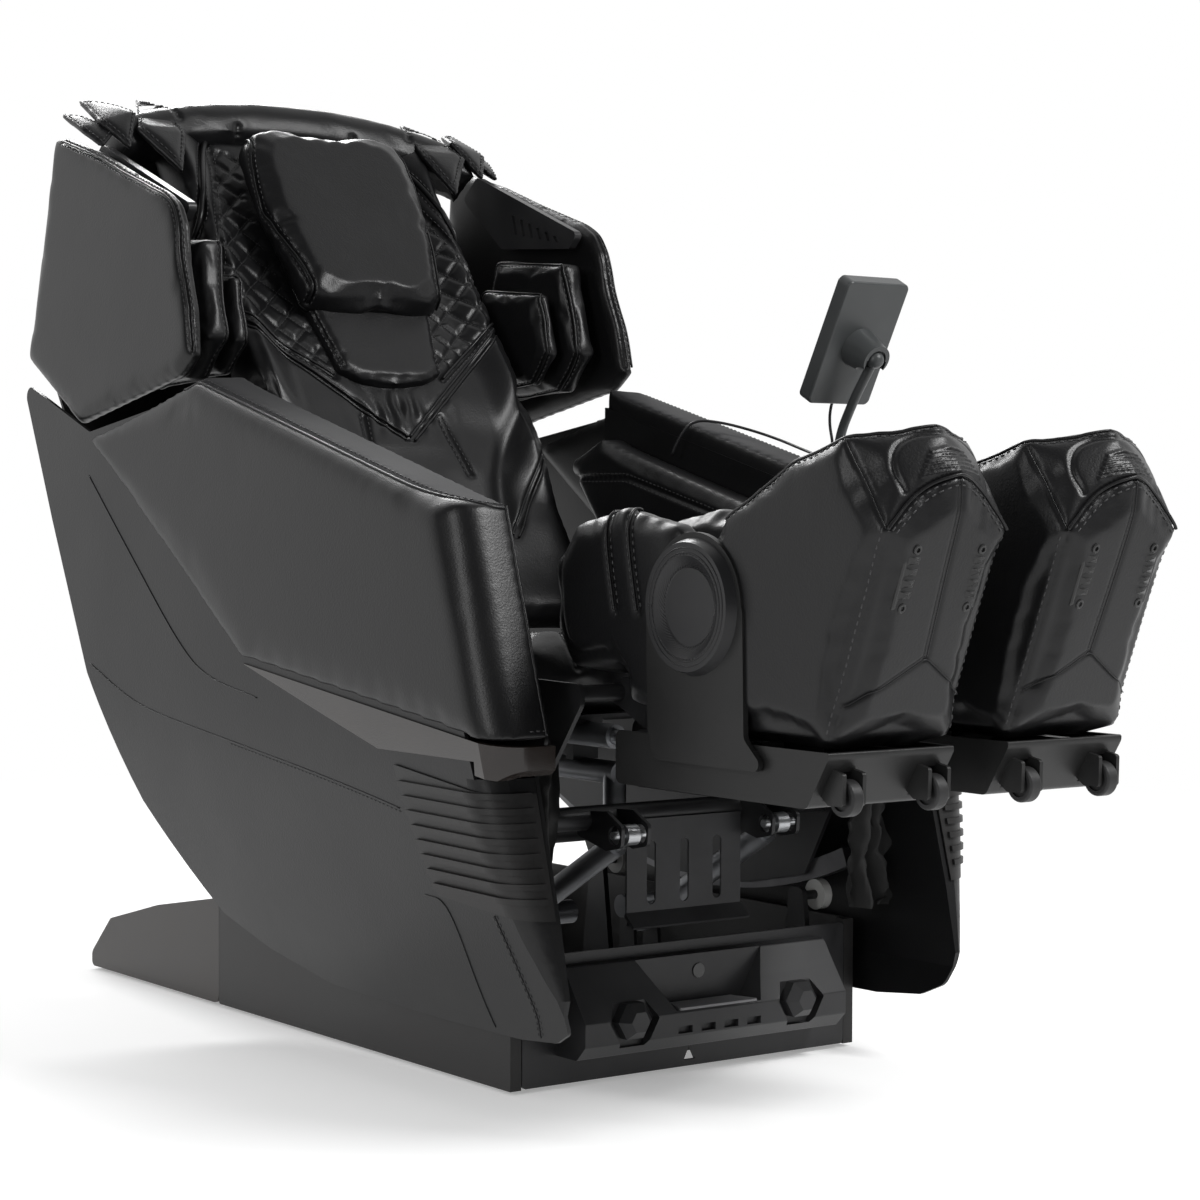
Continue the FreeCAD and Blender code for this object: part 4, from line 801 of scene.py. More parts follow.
wing_rows = [
    beside(wing_skin, seam, off)
    for seam, off in ((outer_rim, -0.005), (outer_rim, 0.005), (inner_rim, 0.005))
]
both_sides(stitched("wing_stitches_right", wing_skin, wing_rows), thread, "backrest")
both_sides(piped("wing_welts_right", [outer_rim], 0.0016, 0.2), taut_leather, "backrest")


# ------------------------------------------------------------------ backrest
# The back pad is one leather cover with bolsters at its sides, sewn diamonds over the
# shoulders and welted diagonals below; the moulded cover behind carries the frame.
lean = math.radians(33)
back_foot = Vector((0.0, -0.084, 0.520))
up_back = Vector((0.0, math.sin(lean), math.cos(lean)))
into_back = Vector((0.0, math.cos(lean), -math.sin(lean)))


def on_back(x, s, t=0.0):
    """Place on the backrest: across, up along it from the seat, and into it."""
    return back_foot + up_back * s + into_back * t + Vector((x, 0, 0))


def back_seams(skin, *lines, curved=False):
    """Lines given as (x, s) on the right half of the back, and the same on the left."""
    seams = []
    for line in lines:
        for side in (-1, 1):
            points = [on_back(side * x, s, -0.06) for x, s in line]
            seams.append(set_down(skin, along(points, curved=curved), into_back))
    return seams


def inside(x, s, corners):
    """Whether a place is inside an outline."""
    odd = False
    for (xa, sa), (xb, sb) in zip(corners, corners[1:] + corners[:1]):
        if (sa > s) != (sb > s) and x < (xb - xa) * (s - sa) / (sb - sa) + xa:
            odd = not odd
    return odd


def quilting(skin, corners, pitch, rise, low, high, reach):
    """Two families of slanted seams, kept to the inside of an outline."""
    seams = []
    for slant in (-1, 1):
        count = int((high - low) / pitch) + 12
        for k in range(-12, count):
            run = []
            for step in range(0, int(reach / 0.004)):
                x = step * 0.004
                s = low + k * pitch + slant * rise * x
                if inside(x, s, corners):
                    run.append((x, s))
                elif len(run) > 3:
                    break
            if len(run) > 3:
                seams += back_seams(skin, [run[0], run[-1]])
    return seams


dress("back_frame", frame_paint)
dress("back_cover", cover_plastic)
dress("massage_carriage", guard_steel)
dress("kneading_shaft", nylon)

back = sewn(form_of("back_pad_cover", "back_pad"), 0.006, 0.003, 0.009, 7)
points = coords_of(back.data)
normals = normals_of(back.data)
for k, (point, normal) in enumerate(zip(points, normals)):
    place = Vector(point) - back_foot
    s = place.dot(up_back)
    facing = max(0.0, -Vector(normal).dot(into_back))
    bolster = min(1.0, max(0.0, (abs(point[0]) - 0.150) / 0.065))
    bolster = bolster * bolster * (3 - 2 * bolster) * min(1.0, max(0.0, (s - 0.22) / 0.10))
    wrinkle = math.sin(abs(point[0]) * 230 + noise.noise(Vector(point) * 22) * 3.0)
    hanging = max(0.0, 1 - abs(s - 0.375) / 0.05) * max(0.0, 1 - abs(point[0]) / 0.11)
    fold = noise.noise(Vector((point[0] * 9, s * 16, 3.0))) * 0.0035
    points[k] -= np.array(into_back) * facing * (bolster * 0.022 + wrinkle * hanging * 0.0028 + fold)
put_coords(back.data, points)

back_skin = skin_of(back)
quilt_corners = [
    (0.100, 0.860), (0.150, 0.862), (0.172, 0.776), (0.200, 0.690), (0.222, 0.605),
    (0.222, 0.545), (0.092, 0.436), (0.100, 0.500), (0.112, 0.570), (0.122, 0.660), (0.130, 0.760),
]
quilt = quilting(back_skin, quilt_corners, 0.046, 1.05, 0.36, 0.92, 0.24)
quilt_rim = back_seams(
    back_skin, [(0.150, 0.862), (0.172, 0.776), (0.200, 0.690), (0.221, 0.605), (0.222, 0.547)], curved=True
)
cross_seam = back_seams(back_skin, [(0.222, 0.545), (0.092, 0.436)])
diagonal = back_seams(back_skin, [(0.222, 0.528), (0.004, 0.330)])
low_diagonal = back_seams(back_skin, [(0.230, 0.316), (0.122, 0.165)])
short_seam = back_seams(back_skin, [(0.064, 0.369), (0.080, 0.270)])
crease = back_seams(back_skin, [(0.225, 0.416), (0.140, 0.278), (0.120, 0.190)], curved=True)
roll = back_seams(
    back_skin,
    [(0.128, 0.900), (0.158, 0.873), (0.188, 0.810), (0.211, 0.740), (0.226, 0.683),
    (0.231, 0.613), (0.229, 0.541),
     (0.226, 0.465), (0.231, 0.398), (0.233, 0.340), (0.232, 0.295)],
    curved=True,
)
drawn_in(back, quilt, 0.0045, 0.0035)
drawn_in(back, quilt_rim + cross_seam + diagonal + short_seam + low_diagonal, 0.006, 0.005)
drawn_in(back, crease, 0.016, 0.010)
drawn_in(back, roll, 0.008, 0.006)
finished(back, black_leather, "backrest", ["back_pad"])
back_skin = skin_of(back)
pairs_of_welts = [
    beside(back_skin, seam, off)
    for seam in diagonal + low_diagonal
    for off in (-0.0035, 0.0035)
]
back_welts = piped("back_welts", pairs_of_welts + cross_seam, 0.0021, 0.5)
finished(back_welts, taut_leather, "backrest")
roll_welts = piped("roll_welts", roll, 0.0042, 0.3)
finished(roll_welts, taut_leather, "backrest")
back_rows = [beside(back_skin, seam, off) for seam in quilt_rim + short_seam for off in (-0.005, 0.005)]
back_rows += [beside(back_skin, seam, -0.007 if k % 2 else 0.007) for k, seam in enumerate(cross_seam)]
back_rows += [beside(back_skin, seam, off) for seam in roll for off in (-0.008, 0.008)]
finished(stitched("back_stitches", back_skin, back_rows), thread, "backrest")
quilt_thread = [set_down(back_skin, [spot for spot, _ in seam]) for seam in quilt]
finished(
    stitched("quilt_stitches", back_skin, quilt_thread, 0.004, 0.0015, 0.0005), thread,
    "backrest",
)


# ------------------------------------------------------------------ pillow and apron
# A leather apron hangs over the shoulder line in a shallow V; the head pillow lies on it,
# a soft block with stitched gussets at its sides and a welt round its foot.
def back_block(name, outline, front, rear, taper=0.0, crown=0.0):
    """Closed form standing on the back from an outline of (x, s) on the right half."""
    whole = outline + [(-x, s) for x, s in reversed(outline)]
    middle_s = sum(s for _, s in whole) / len(whole)
    rings = []
    for part in range(7):
        share = part / 6
        t = rear + (front - rear) * share
        size = 1 - taper * share**2
        lean_in = crown * share
        rings.append([on_back(x * size, middle_s + (s - middle_s) * size + lean_in, t) for x, s in whole])
    return lofted(name, rings)


apron_outline = [
    (0.000, 0.411), (0.058, 0.419), (0.088, 0.436), (0.097, 0.495), (0.109, 0.560), (0.118, 0.640),
    (0.000, 0.660),
]
apron = sewn(back_block("apron", apron_outline, -0.020, 0.010), 0.004, 0.001, 0.004, 4)
apron_skin = skin_of(apron)
apron_rim = back_seams(apron_skin, [(0.082, 0.445), (0.091, 0.495), (0.103, 0.560)], curved=True)
drawn_in(apron, apron_rim, 0.004, 0.003)
finished(apron, black_leather, "backrest")
apron_skin = skin_of(apron)
apron_rows = [beside(apron_skin, seam, off) for seam in apron_rim for off in (-0.004, 0.004)]
finished(stitched("apron_stitches", apron_skin, apron_rows), thread, "backrest")

pillow_outline = [
    (0.000, 0.524), (0.092, 0.529), (0.120, 0.543), (0.130, 0.580), (0.141, 0.640), (0.150, 0.700),
    (0.150, 0.770), (0.145, 0.822), (0.128, 0.850), (0.092, 0.862), (0.000, 0.864),
]
head_pillow = sewn(back_block("head_pillow", pillow_outline, -0.052, -0.004, 0.06), 0.005, 0.003, 0.011, 6)
pillow_skin = skin_of(head_pillow)
gusset = back_seams(
    pillow_skin,
    [
        (0.120, 0.846), (0.134, 0.800), (0.139, 0.740), (0.135, 0.685), (0.124, 0.635), (0.112, 0.590),
        (0.108, 0.560), (0.112, 0.543),
    ],
    curved=True,
)
drawn_in(head_pillow, gusset, 0.006, 0.005)
finished(head_pillow, black_leather, "backrest", ["pillow"])
pillow_skin = skin_of(head_pillow)
foot_line = [
    on_back(0.166 * math.cos(a), 0.575 + 0.046 * math.sin(a), 0.004)
    for a in (math.pi * (1 + k / 16) for k in range(17))
]
foot_welt = set_down(pillow_skin, along(foot_line, curved=True))
finished(piped("pillow_welts", [foot_welt] + gusset, 0.0018, 0.3), taut_leather, "backrest")
pillow_rows = [beside(pillow_skin, seam, off) for seam in gusset for off in (-0.0055, 0.0055)]
finished(stitched("pillow_stitches", pillow_skin, pillow_rows), thread, "backrest")


# ------------------------------------------------------------------ head flaps
# A broad padded roll covers the top edge in a low arch, and three pointed, thinly padded
# leaves fan out at each top corner, each with a row of stitches inside its edge.
def back_spots(points):
    return [on_back(*p) for p in points]


def leaf(name, outline, thick=0.009):
    """Padded sheet over an outline of (x, s, t) on the back."""
    spots = back_spots(outline)
    return lofted(name, [[spot - into_back * thick * side for spot in spots] for side in (0, 0.5, 1)])


rings = []
for k in range(-12, 13):
    x = 0.0255 * k
    high = 0.966 - 0.050 * (abs(x) / 0.295) ** 2.2
    low = high - 0.075
    rings.append(back_spots([
        (x, low, 0.004), (x, high - 0.022, 0.004), (x, high, 0.030), (x, high - 0.006, 0.060),
        (x, high - 0.036, 0.084), (x, low, 0.078),
    ]))
top = sewn(lofted("top_flap", rings), 0.006, 0.002, 0.006)
top_skin = skin_of(top)
top_seams = []
for side in (-1, 1):
    for x in (0.10, 0.20, 0.285):
        line = [on_back(side * x, 0.905, 0.02), on_back(side * (x + 0.012), 0.930, 0.08)]
        top_seams.append(set_down(top_skin, along(line)))
drawn_in(top, top_seams, 0.005, 0.004)
finished(top, black_leather, "backrest", ["head_flaps"])
leaves = (
    [
        (-0.342, 0.832, 0.010), (-0.356, 0.885, 0.034), (-0.353, 0.946, 0.078), (-0.330, 0.925, 0.055),
        (-0.308, 0.870, 0.012),
    ],
    [
        (-0.304, 0.824, 0.000), (-0.334, 0.880, 0.012), (-0.324, 0.966, 0.066), (-0.292, 0.944, 0.044),
        (-0.272, 0.900, 0.006),
    ],
    [
        (-0.235, 0.780, -0.006), (-0.286, 0.862, 0.000), (-0.262, 0.920, 0.020), (-0.230, 0.974, 0.058),
        (-0.205, 0.930, 0.022), (-0.205, 0.860, 0.000),
    ],
)
for k, outline in enumerate(leaves):
    flap = sewn(leaf("flap_%d_right" % k, outline), 0.0035, 0.0, 0.003, 3, finer=0)
    flap_skin = skin_of(flap)
    middle = [sum(p[j] for p in outline) / len(outline) for j in range(3)]
    hem = [
        tuple(middle[j] + (p[j] - middle[j]) * 0.82 - (0.012 if j == 2 else 0) for j in range(3))
        for p in outline
    ]
    hem = set_down(flap_skin, along(back_spots(hem + hem[:1])))
    drawn_in(flap, [hem], 0.003, 0.0015)
    both_sides(flap, black_leather, "backrest")
    both_sides(stitched("flap_%d_stitches_right" % k, flap_skin, [hem]), thread, "backrest")


# ------------------------------------------------------------------ shoulder cushions
# Inside each wing stand two flat air cushions, the inner one smaller, each with a welt and
# two rows of stitches round its face; above them is a moulded panel.
slabs = (
    (
        "shoulder_cushion_outer_right",
        [(0.118, 1.070), (0.300, 1.085), (0.352, 0.960), (0.290, 0.862), (0.140, 0.872), (0.084, 0.930)],
        [(-0.330, 0.006), (-0.325, 0.0), (-0.298, 0.0), (-0.292, 0.006)],
    ),
    (
        "shoulder_cushion_inner_right",
        [(0.128, 1.022), (0.282, 1.036), (0.325, 0.952), (0.272, 0.876), (0.150, 0.882), (0.104, 0.930)],
        [(-0.276, 0.006), (-0.272, 0.0), (-0.256, 0.0), (-0.252, 0.006)],
    ),
)
for name, outline, layers in slabs:
    slab = sewn(side_form(name, outline, layers), 0.004, 0.001, 0.005, 5)
    slab_skin = skin_of(slab)
    inner_x = layers[-1][0]
    seam = set_down(
        slab_skin,
        along([(inner_x + 0.002, y * 0.94 + 0.013, z * 0.94 + 0.058) for y, z in outline + outline[:1]]),
        (-1, 0, 0), 0.05,
    )
    drawn_in(slab, [seam], 0.004, 0.0025)
    both_sides(slab, black_leather, "backrest", ["shoulder_airbags"])
    slab_skin = skin_of(slab)
    both_sides(piped("welt_of_" + name, [seam], 0.0018, 0.3), taut_leather, "backrest")
    slab_rows = [beside(slab_skin, seam, off) for off in (-0.005, 0.005)]
    both_sides(stitched("stitches_of_" + name, slab_skin, slab_rows), thread, "backrest")
dress("recess_panels", console_plastic, 0.001)


# ------------------------------------------------------------------ calf pads
# Air cushion units round the calves, in leather, with a double-stitched band over the top
# and a welted side; their steel brackets show below.
leg_middle = -0.131
for side in ("left", "right"):
    dress("calf_frame_" + side, frame_paint)
calf = sewn(form_of("calf_cover_right", "calf_pad_right"), 0.0055, 0.002, 0.009, 7)
calf_skin = skin_of(calf)
band_seams = []
for y in (-0.675, -0.718):
    line = [
        (leg_middle - 0.045, y, 0.712),
        (leg_middle - 0.070, y, 0.708),
        (leg_middle - 0.083, y - 0.002, 0.690),
        (leg_middle - 0.085, y - 0.010, 0.640),
        (leg_middle - 0.085, y - 0.022, 0.585),
    ]
    band_seams.append(set_down(calf_skin, along(line, curved=True)))
side_loop = [(-0.580, 0.650), (-0.590, 0.560), (-0.612, 0.530), (-0.668, 0.530)]
loop_seam = set_down(calf_skin, along([(leg_middle - 0.09, y, z) for y, z in side_loop], curved=True))
drawn_in(calf, band_seams, 0.006, 0.005)
drawn_in(calf, [loop_seam], 0.005, 0.003)
both_sides(calf, black_leather, "leg_right", ["calf_pad_right"])
calf_skin = skin_of(calf)
calf_rows = [beside(calf_skin, seam, off) for seam in band_seams for off in (-0.005, 0.005)]
both_sides(stitched("calf_stitches_right", calf_skin, calf_rows), thread, "leg_right")
both_sides(piped("calf_welts_right", band_seams, 0.0018, 0.3), taut_leather, "leg_right")


# ------------------------------------------------------------------ boots
# The foot units: leather boots sewn from a sole, two sides and a moulded toe cap, with two
# ribbed plastic strips screwed to each sole.
toe_corner = Vector((0.092, -1.163, 0.680))
sole_foot = Vector((0.092, -1.075, 0.452))
up_sole = (toe_corner - sole_foot).normalized()
off_sole = Vector((0, up_sole.z, -up_sole.y)) * -1


def on_sole(across, z, proud=0.0):
    """Place on the sole at a height, with a distance out of it."""
    share = (z - sole_foot.z) / up_sole.z
    return Vector((leg_middle + across, sole_foot.y + up_sole.y * share, z)) + off_sole * proud


def on_toe(across, z):
    """Place on the toe cap, whose ridge is in the middle."""
    part = abs(across) / 0.092
    side_y = -1.163 + (z - 0.680) * 0.682
    middle_y = -1.186 + (z - 0.740) * 0.571
    return Vector((leg_middle + across, middle_y + (side_y - middle_y) * part, z))


boot = sewn(form_of("boot_cover_right", "foot_pad_right"), 0.0042, 0.002, 0.007, 6)
boot_skin = skin_of(boot)
sole_seams = [
    set_down(boot_skin, along([on_sole(way * 0.089, 0.458), on_sole(way * 0.089, 0.678)])) for way in (-1, 1)
]
toe_seam = set_down(
    boot_skin,
    along(
        [
            on_toe(-0.089, 0.682), on_toe(-0.045, 0.722), on_toe(0, 0.741), on_toe(0.045, 0.722),
            on_toe(0.089, 0.682),
        ],
        curved=True,
    ),
)
cap_seams = [
    set_down(
        boot_skin,
        along([(leg_middle + way * 0.091, -1.160, 0.684), (leg_middle + way * 0.091, -1.092, 0.782)]),
    )
    for way in (-1, 1)
]
middle_seam = set_down(boot_skin, along([on_sole(0, 0.736), on_sole(0.003, 0.640), on_sole(0.008, 0.549)]))
chevron = set_down(boot_skin, along([on_sole(-0.084, 0.493), on_sole(0.008, 0.548), on_sole(0.086, 0.500)]))
rim_seams = []
for way in (-1, 1):
    rim = [
        (0.088, -0.900, 0.690), (0.088, -1.010, 0.758), (0.088, -1.055, 0.776), (0.080, -1.096, 0.788),
        (0.045, -1.128, 0.800), (0.0, -1.138, 0.804),
    ]
    rim_seams.append(
        set_down(boot_skin, along([(leg_middle + way * x, y, z) for x, y, z in rim], curved=True))
    )
horseshoe = [
    (-0.060, 0.722), (-0.062, 0.744), (-0.052, 0.766), (-0.030, 0.784), (0, 0.790), (0.030, 0.784),
    (0.052, 0.766), (0.062, 0.744), (0.060, 0.722),
]
arch = set_down(boot_skin, along([on_toe(x, z) for x, z in horseshoe], 0.002, curved=True))
ribs = []
for k in range(6):
    z = 0.7465 + 0.0052 * k
    wide = 0.040 - 0.0035 * k
    ribs.append(
        set_down(
            boot_skin,
            along([on_toe(-wide, z - 0.010), on_toe(0, z), on_toe(wide, z - 0.010)], 0.002, curved=True),
        )
    )
drawn_in(boot, [toe_seam] + sole_seams, 0.0045, 0.003)
drawn_in(boot, [middle_seam] + cap_seams + rim_seams, 0.004, 0.0022)
drawn_in(boot, [chevron], 0.003, 0.0018)
drawn_in(boot, [arch], 0.0035, 0.003)
drawn_in(boot, ribs, 0.0019, -0.0022)
both_sides(boot, black_leather, "foot_right", ["foot_pad_right"])
boot_skin = skin_of(boot)
boot_rows = [beside(boot_skin, toe_seam, off) for off in (0.005, 0.011)]
boot_rows += [beside(boot_skin, seam, 0.006 * way) for seam, way in zip(sole_seams, (-1, 1))]
boot_rows += [beside(boot_skin, seam, 0.006 * way) for seam, way in zip(rim_seams, (1, -1))]
both_sides(
    stitched("boot_stitches_right", boot_skin, boot_rows, 0.006, 0.0035, 0.0009), thread,
    "foot_right",
)
both_sides(
    piped("boot_welts_right", rim_seams + [toe_seam], 0.0019, 0.2), taut_leather,
    "foot_right",
)
both_sides(
    piped("boot_lines_right", [chevron, middle_seam] + cap_seams, 0.0007, 0.4), taut_leather,
    "foot_right",
)


def sole_strip(across):
    """Bar with pointed ends, a screw at each end and four pyramids between them."""
    low_z, high_z = 0.592, 0.672
    half, point = 0.0125, 0.008
    bm = bmesh.new()

    def place(x, z, proud):
        return bm.verts.new(on_sole(across + x, z, proud))

    edge = [
        (-half, low_z + point), (0, low_z), (half, low_z + point), (half, high_z - point), (0, high_z),
        (-half, high_z - point),
    ]
    levels = [(1.0, -0.002), (1.0, 0.0035), (0.86, 0.0048)]
    middle = (low_z + high_z) / 2
    rows = [
        [place(x * size, middle + (z - middle) * (size * 0.5 + 0.5), h) for x, z in edge]
        for size, h in levels
    ]
    for low, high in zip(rows, rows[1:]):
        for k in range(6):
            bm.faces.new((low[k], low[(k + 1) % 6], high[(k + 1) % 6], high[k]))
    bm.faces.new(list(reversed(rows[0])))
    bm.faces.new(rows[-1])
    ridge = (high_z - low_z - 0.032) / 4
    for k in range(4):
        z = low_z + 0.016 + ridge * k
        foot = [
            place(x, zz, 0.003)
            for x, zz in ((-0.0115, z), (0.0115, z), (0.0115, z + ridge), (-0.0115, z + ridge))
        ]
        tip = place(0, z + ridge * 0.72, 0.0105)
        for a, b in zip(foot, foot[1:] + foot[:1]):
            bm.faces.new((a, b, tip))
        bm.faces.new(list(reversed(foot)))
    for z in (low_z + 0.0095, high_z - 0.0095):
        turns = [2 * math.pi * j / 20 for j in range(20)]
        rings = [
            [place(r * math.cos(a), z + r * math.sin(a), h) for a in turns]
            for r, h in (
                (0.0052, 0.003), (0.0052, 0.0066), (0.0042, 0.0072), (0.0026, 0.0072), (0.0024, 0.0052)
            )
        ]
        for low, high in zip(rings, rings[1:]):
            for j in range(20):
                bm.faces.new((low[j], low[(j + 1) % 20], high[(j + 1) % 20], high[j]))
        bm.faces.new(list(reversed(rings[0])))
        bm.faces.new(rings[-1])
    bmesh.ops.recalc_face_normals(bm, faces=bm.faces)
    mesh = bpy.data.meshes.new("strip")
    bm.to_mesh(mesh)
    bm.free()
    return linked("strip", mesh)


def dented(name, parts):
    """Small hard pieces joined without smoothing their edges."""
    made = joined_mesh(name, parts)
    made.data.polygons.foreach_set("use_smooth", [False] * len(made.data.polygons))
    return made


strip_plastic = plastic("strip_plastic", (0.018, 0.018, 0.018), (0.026, 0.026, 0.026), 0.32)
both_sides(
    dented("sole_strips_right", [sole_strip(-0.046), sole_strip(0.046)]), strip_plastic,
    "foot_right",
)


# ------------------------------------------------------------------ foot trays
# Plastic trays under the boots with heel wheels, and a bracket on the outer side with a
# round cover whose dish has fine curved ribs.
shell_plastic = plastic("shell_plastic", (0.008, 0.008, 0.008), (0.012, 0.012, 0.012), 0.42)
disc_plastic = plastic("disc_plastic", (0.011, 0.011, 0.012), (0.016, 0.016, 0.017), 0.34)
tyre = plastic("tyre", (0.012, 0.012, 0.0125), (0.020, 0.020, 0.0205), 0.5, 300.0, 0.0004)
for side in ("left", "right"):
    dress("foot_shell_" + side, shell_plastic, 0.0012)
    dress("side_disc_" + side, disc_plastic, 0.0008)
    dress("heel_wheel_outer_" + side, tyre)
    dress("heel_wheel_inner_" + side, tyre)
disc_face, disc_y, disc_z = -0.242, -0.856, 0.593
blades = []
for k in range(64):
    path = []
    for j in range(6):
        radius = 0.0445 + 0.0145 * j / 5
        turn = 2 * math.pi * k / 64 + math.radians(26) * j / 5
        deep = 0.007 * (0.0595 - radius) / 0.016
        path.append((disc_face + deep, disc_y + radius * math.cos(turn), disc_z + radius * math.sin(turn)))
    blades.append(rod_along("blade", path, 0.0009, None, 6))
both_sides(joined_mesh("disc_blades_right", blades), disc_plastic, "foot_right")
rings = []
for radius in (0.0605, 0.066):
    path = [
        (disc_face, disc_y + radius * math.cos(a), disc_z + radius * math.sin(a))
        for a in (2 * math.pi * k / 72 for k in range(73))
    ]
    rings.append(rod_along("ring", path, 0.0009, None, 6))
both_sides(joined_mesh("disc_rings_right", rings), disc_plastic, "foot_right")


# ------------------------------------------------------------------ cloth gaiter
# A thin black cloth hangs crumpled inside each arm's front edge and hides the drives.
def gaiter():
    wide, tall = 26, 44
    rows = []
    for i in range(tall + 1):
        v = i / tall
        row = []
        for j in range(wide + 1):
            u = j / wide
            x = -0.292 + 0.058 * u
            z = 0.425 - 0.235 * v
            place = Vector((u * 2.2, v * 3.4, 0.7))
            deep = 0.014 * math.sin(u * 15 + 2.2 * noise.noise(place)) * (0.35 + 0.65 * v)
            crumple = 0.011 * noise.noise(place * 2.3) + 0.006 * noise.noise(place * 5.1)
            row.append(
                Vector((x + crumple * 0.5, -0.607 + 0.05 * v * 0.2 + deep + crumple, z + crumple * 0.4))
            )
        rows.append(row)
    verts = [p for row in rows for p in row]
    across = wide + 1
    faces = [
        (i * across + j, i * across + j + 1, (i + 1) * across + j + 1, (i + 1) * across + j)
        for i in range(tall)
        for j in range(wide)
    ]
    mesh = bpy.data.meshes.new("gaiter_right")
    mesh.from_pydata(verts, [], faces)
    smooth_shaded(mesh)
    width = sum(sum((b - a).length for a, b in zip(row, row[1:])) for row in rows) / len(rows)
    columns = list(zip(*rows))
    length = sum(sum((b - a).length for a, b in zip(column, column[1:])) for column in columns) / len(columns)
    return linked("gaiter_right", mesh), (round(width, 3), round(length, 3))


def weave(name, dark, light, threads):
    material, tree, shader = new_material(name, 0.8)
    coords = object_coords(tree)
    tree.links.new(ramp(tree, clouds(tree, coords, 12.0), dark, light), shader.inputs["Base Color"])
    waves = []
    for way in ("X", "Z"):
        wave = add_node(tree, "ShaderNodeTexWave", Scale=threads)
        wave.bands_direction = way
        tree.links.new(coords, wave.inputs["Vector"])
        waves.append(wave)
    crossed = tree.nodes.new("ShaderNodeMath")
    crossed.operation = "ADD"
    tree.links.new(waves[0].outputs["Fac"], crossed.inputs[0])
    tree.links.new(waves[1].outputs["Fac"], crossed.inputs[1])
    tree.links.new(bump(tree, crossed.outputs[0], 0.0003, 0.4), shader.inputs["Normal"])
    return material


black_cloth = weave("black_cloth", (0.006, 0.006, 0.006), (0.011, 0.011, 0.011), 700.0)
gaiter_cloth, gaiter_flat = gaiter()
gaiter_twin = both_sides(gaiter_cloth, black_cloth, "cradle")


# ------------------------------------------------------------------ remote
# Tablet remote of satin dark grey plastic on a gooseneck, with a status light on its edge.
tablet_plastic = plastic("tablet_plastic", (0.040, 0.043, 0.044), (0.052, 0.055, 0.056), 0.36)
dress("remote_stalk", tablet_plastic)
dress("remote_tablet", tablet_plastic, 0.001)


# ------------------------------------------------------------------ room
# A white floor and backdrop, which reflections show only on the far side, so that black
# leather stays black; a key lamp over the front, an upright strip from the chair's right
# and a long strip behind the head. The floor turns to plain white away from the chair.
def lamp(name, place, target, size, power):
    data = bpy.data.lights.new(name, "AREA")
    data.shape = "RECTANGLE"
    data.size, data.size_y = size
    data.energy = power
    made = bpy.data.objects.new(name, data)
    made.location = place
    made.rotation_euler = (Vector(target) - Vector(place)).to_track_quat("-Z", "Y").to_euler()
    bpy.context.collection.objects.link(made)
    return made


world = bpy.data.worlds.new("room")
world.use_nodes = True
sky = world.node_tree
background = sky.nodes["Background"]
background.inputs["Color"].default_value = (1, 1, 1, 1)
path = sky.nodes.new("ShaderNodeLightPath")
mirrored = sky.nodes.new("ShaderNodeMath")
mirrored.operation = "MAXIMUM"
sky.links.new(path.outputs["Is Glossy Ray"], mirrored.inputs[0])
sky.links.new(path.outputs["Is Transmission Ray"], mirrored.inputs[1])
heading = sky.nodes.new("ShaderNodeVectorMath")
heading.operation = "DOT_PRODUCT"
heading.inputs[1].default_value = (0.55, 0.83, 0.0)
sky.links.new(sky.nodes.new("ShaderNodeTexCoord").outputs["Generated"], heading.inputs[0])
backdrop = add_node(sky, "ShaderNodeMapRange", From_Min=-0.1, From_Max=0.3, To_Min=0.05, To_Max=1.0)
sky.links.new(heading.outputs["Value"], backdrop.inputs["Value"])
shown = sky.nodes.new("ShaderNodeMix")
shown.inputs["A"].default_value = 0.42
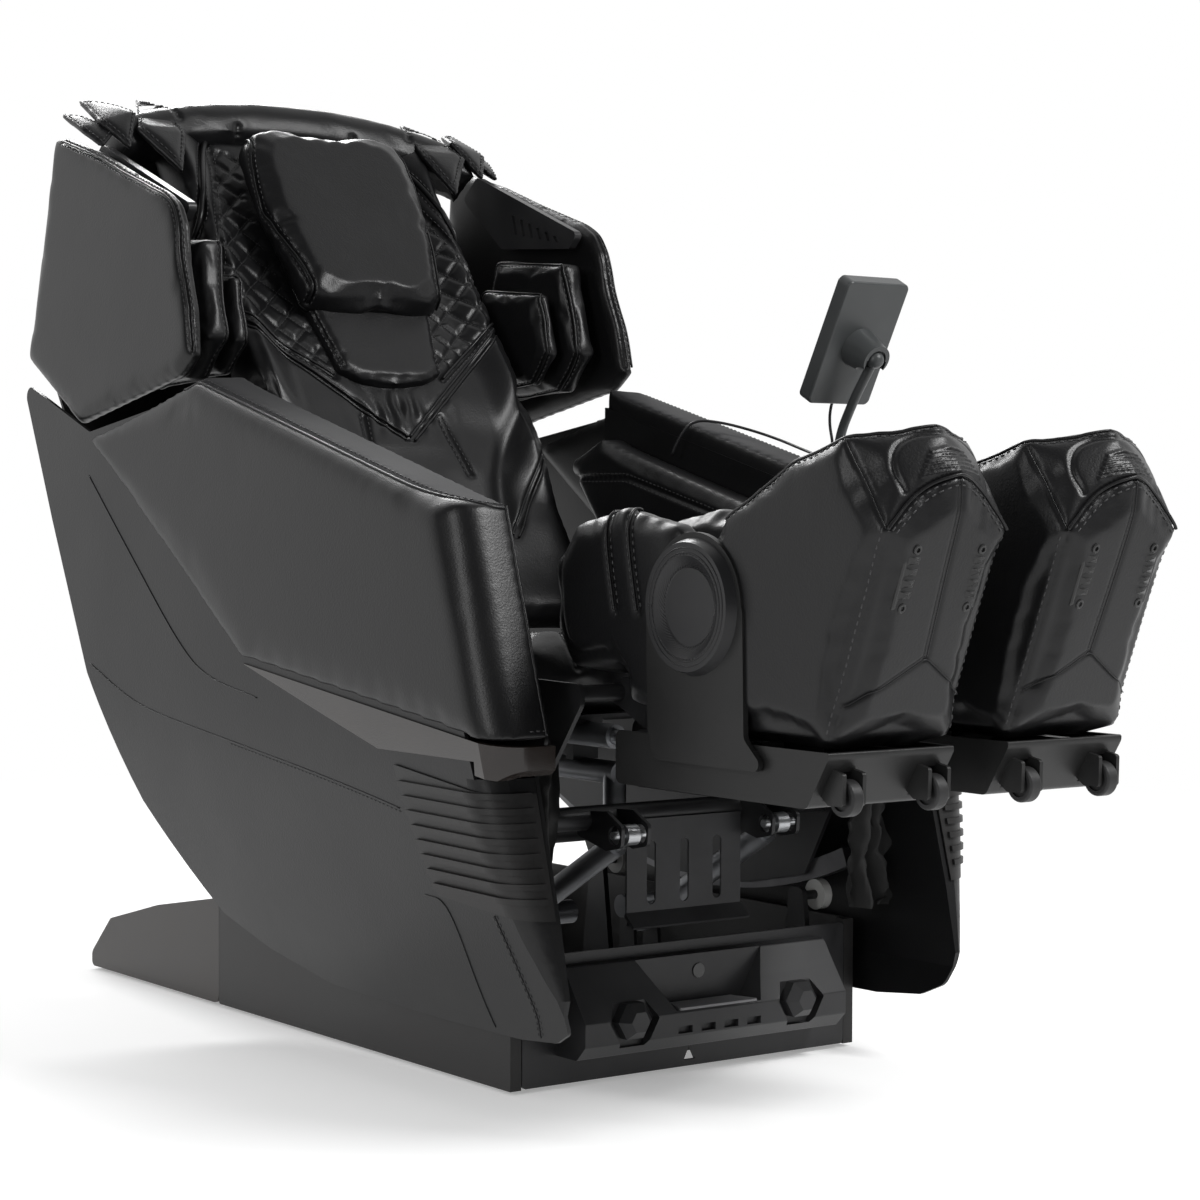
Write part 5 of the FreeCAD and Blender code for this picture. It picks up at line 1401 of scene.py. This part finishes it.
sky.links.new(mirrored.outputs[0], shown.inputs["Factor"])
sky.links.new(backdrop.outputs["Result"], shown.inputs["B"])
final = sky.nodes.new("ShaderNodeMix")
final.inputs["B"].default_value = 1.0
sky.links.new(path.outputs["Is Camera Ray"], final.inputs["Factor"])
sky.links.new(shown.outputs["Result"], final.inputs["A"])
sky.links.new(final.outputs["Result"], background.inputs["Strength"])
bpy.context.scene.world = world

floor_mesh = bpy.data.meshes.new("floor")
reach = 14.0
floor_mesh.from_pydata(
    [(-reach, -reach, 0), (reach, -reach, 0), (reach, reach, 0), (-reach, reach, 0)], [], [(0, 1, 2, 3)]
)
floor_material, floor_tree, floor_shader = new_material("floor", 0.9)
floor_mottle = clouds(floor_tree, object_coords(floor_tree), 0.8)
away = floor_tree.nodes.new("ShaderNodeVectorMath")
away.operation = "LENGTH"
floor_tree.links.new(object_coords(floor_tree), away.inputs[0])
fading = add_node(floor_tree, "ShaderNodeMapRange", From_Min=1.3, From_Max=3.4)
floor_tree.links.new(away.outputs["Value"], fading.inputs["Value"])
fade = fading.outputs["Result"]
paint = floor_tree.nodes.new("ShaderNodeMixRGB")
paint.inputs["Color2"].default_value = (0, 0, 0, 1)
floor_tree.links.new(fade, paint.inputs["Fac"])
floor_tree.links.new(
    ramp(floor_tree, floor_mottle, (0.80, 0.80, 0.80), (0.84, 0.84, 0.84)), paint.inputs["Color1"]
)
floor_tree.links.new(paint.outputs["Color"], floor_shader.inputs["Base Color"])
floor_tree.links.new(spread(floor_tree, fade, 0.3, 1.0), floor_shader.inputs["Emission Strength"])
floor_shader.inputs["Emission Color"].default_value = (1, 1, 1, 1)
floor_shader.inputs["Specular IOR Level"].default_value = 0.0
floor = linked("floor", floor_mesh, floor_material)

lamp("key", (1.6, -3.4, 3.4), (0, -0.3, 0.6), (1.2, 1.0), 150)
lamp("fill", (-4.2, -2.0, 2.2), (0, 0, 0.6), (0.7, 2.4), 55)
lamp("rim", (0.6, 3.2, 3.4), (0, 0, 0.9), (2.6, 0.6), 130)
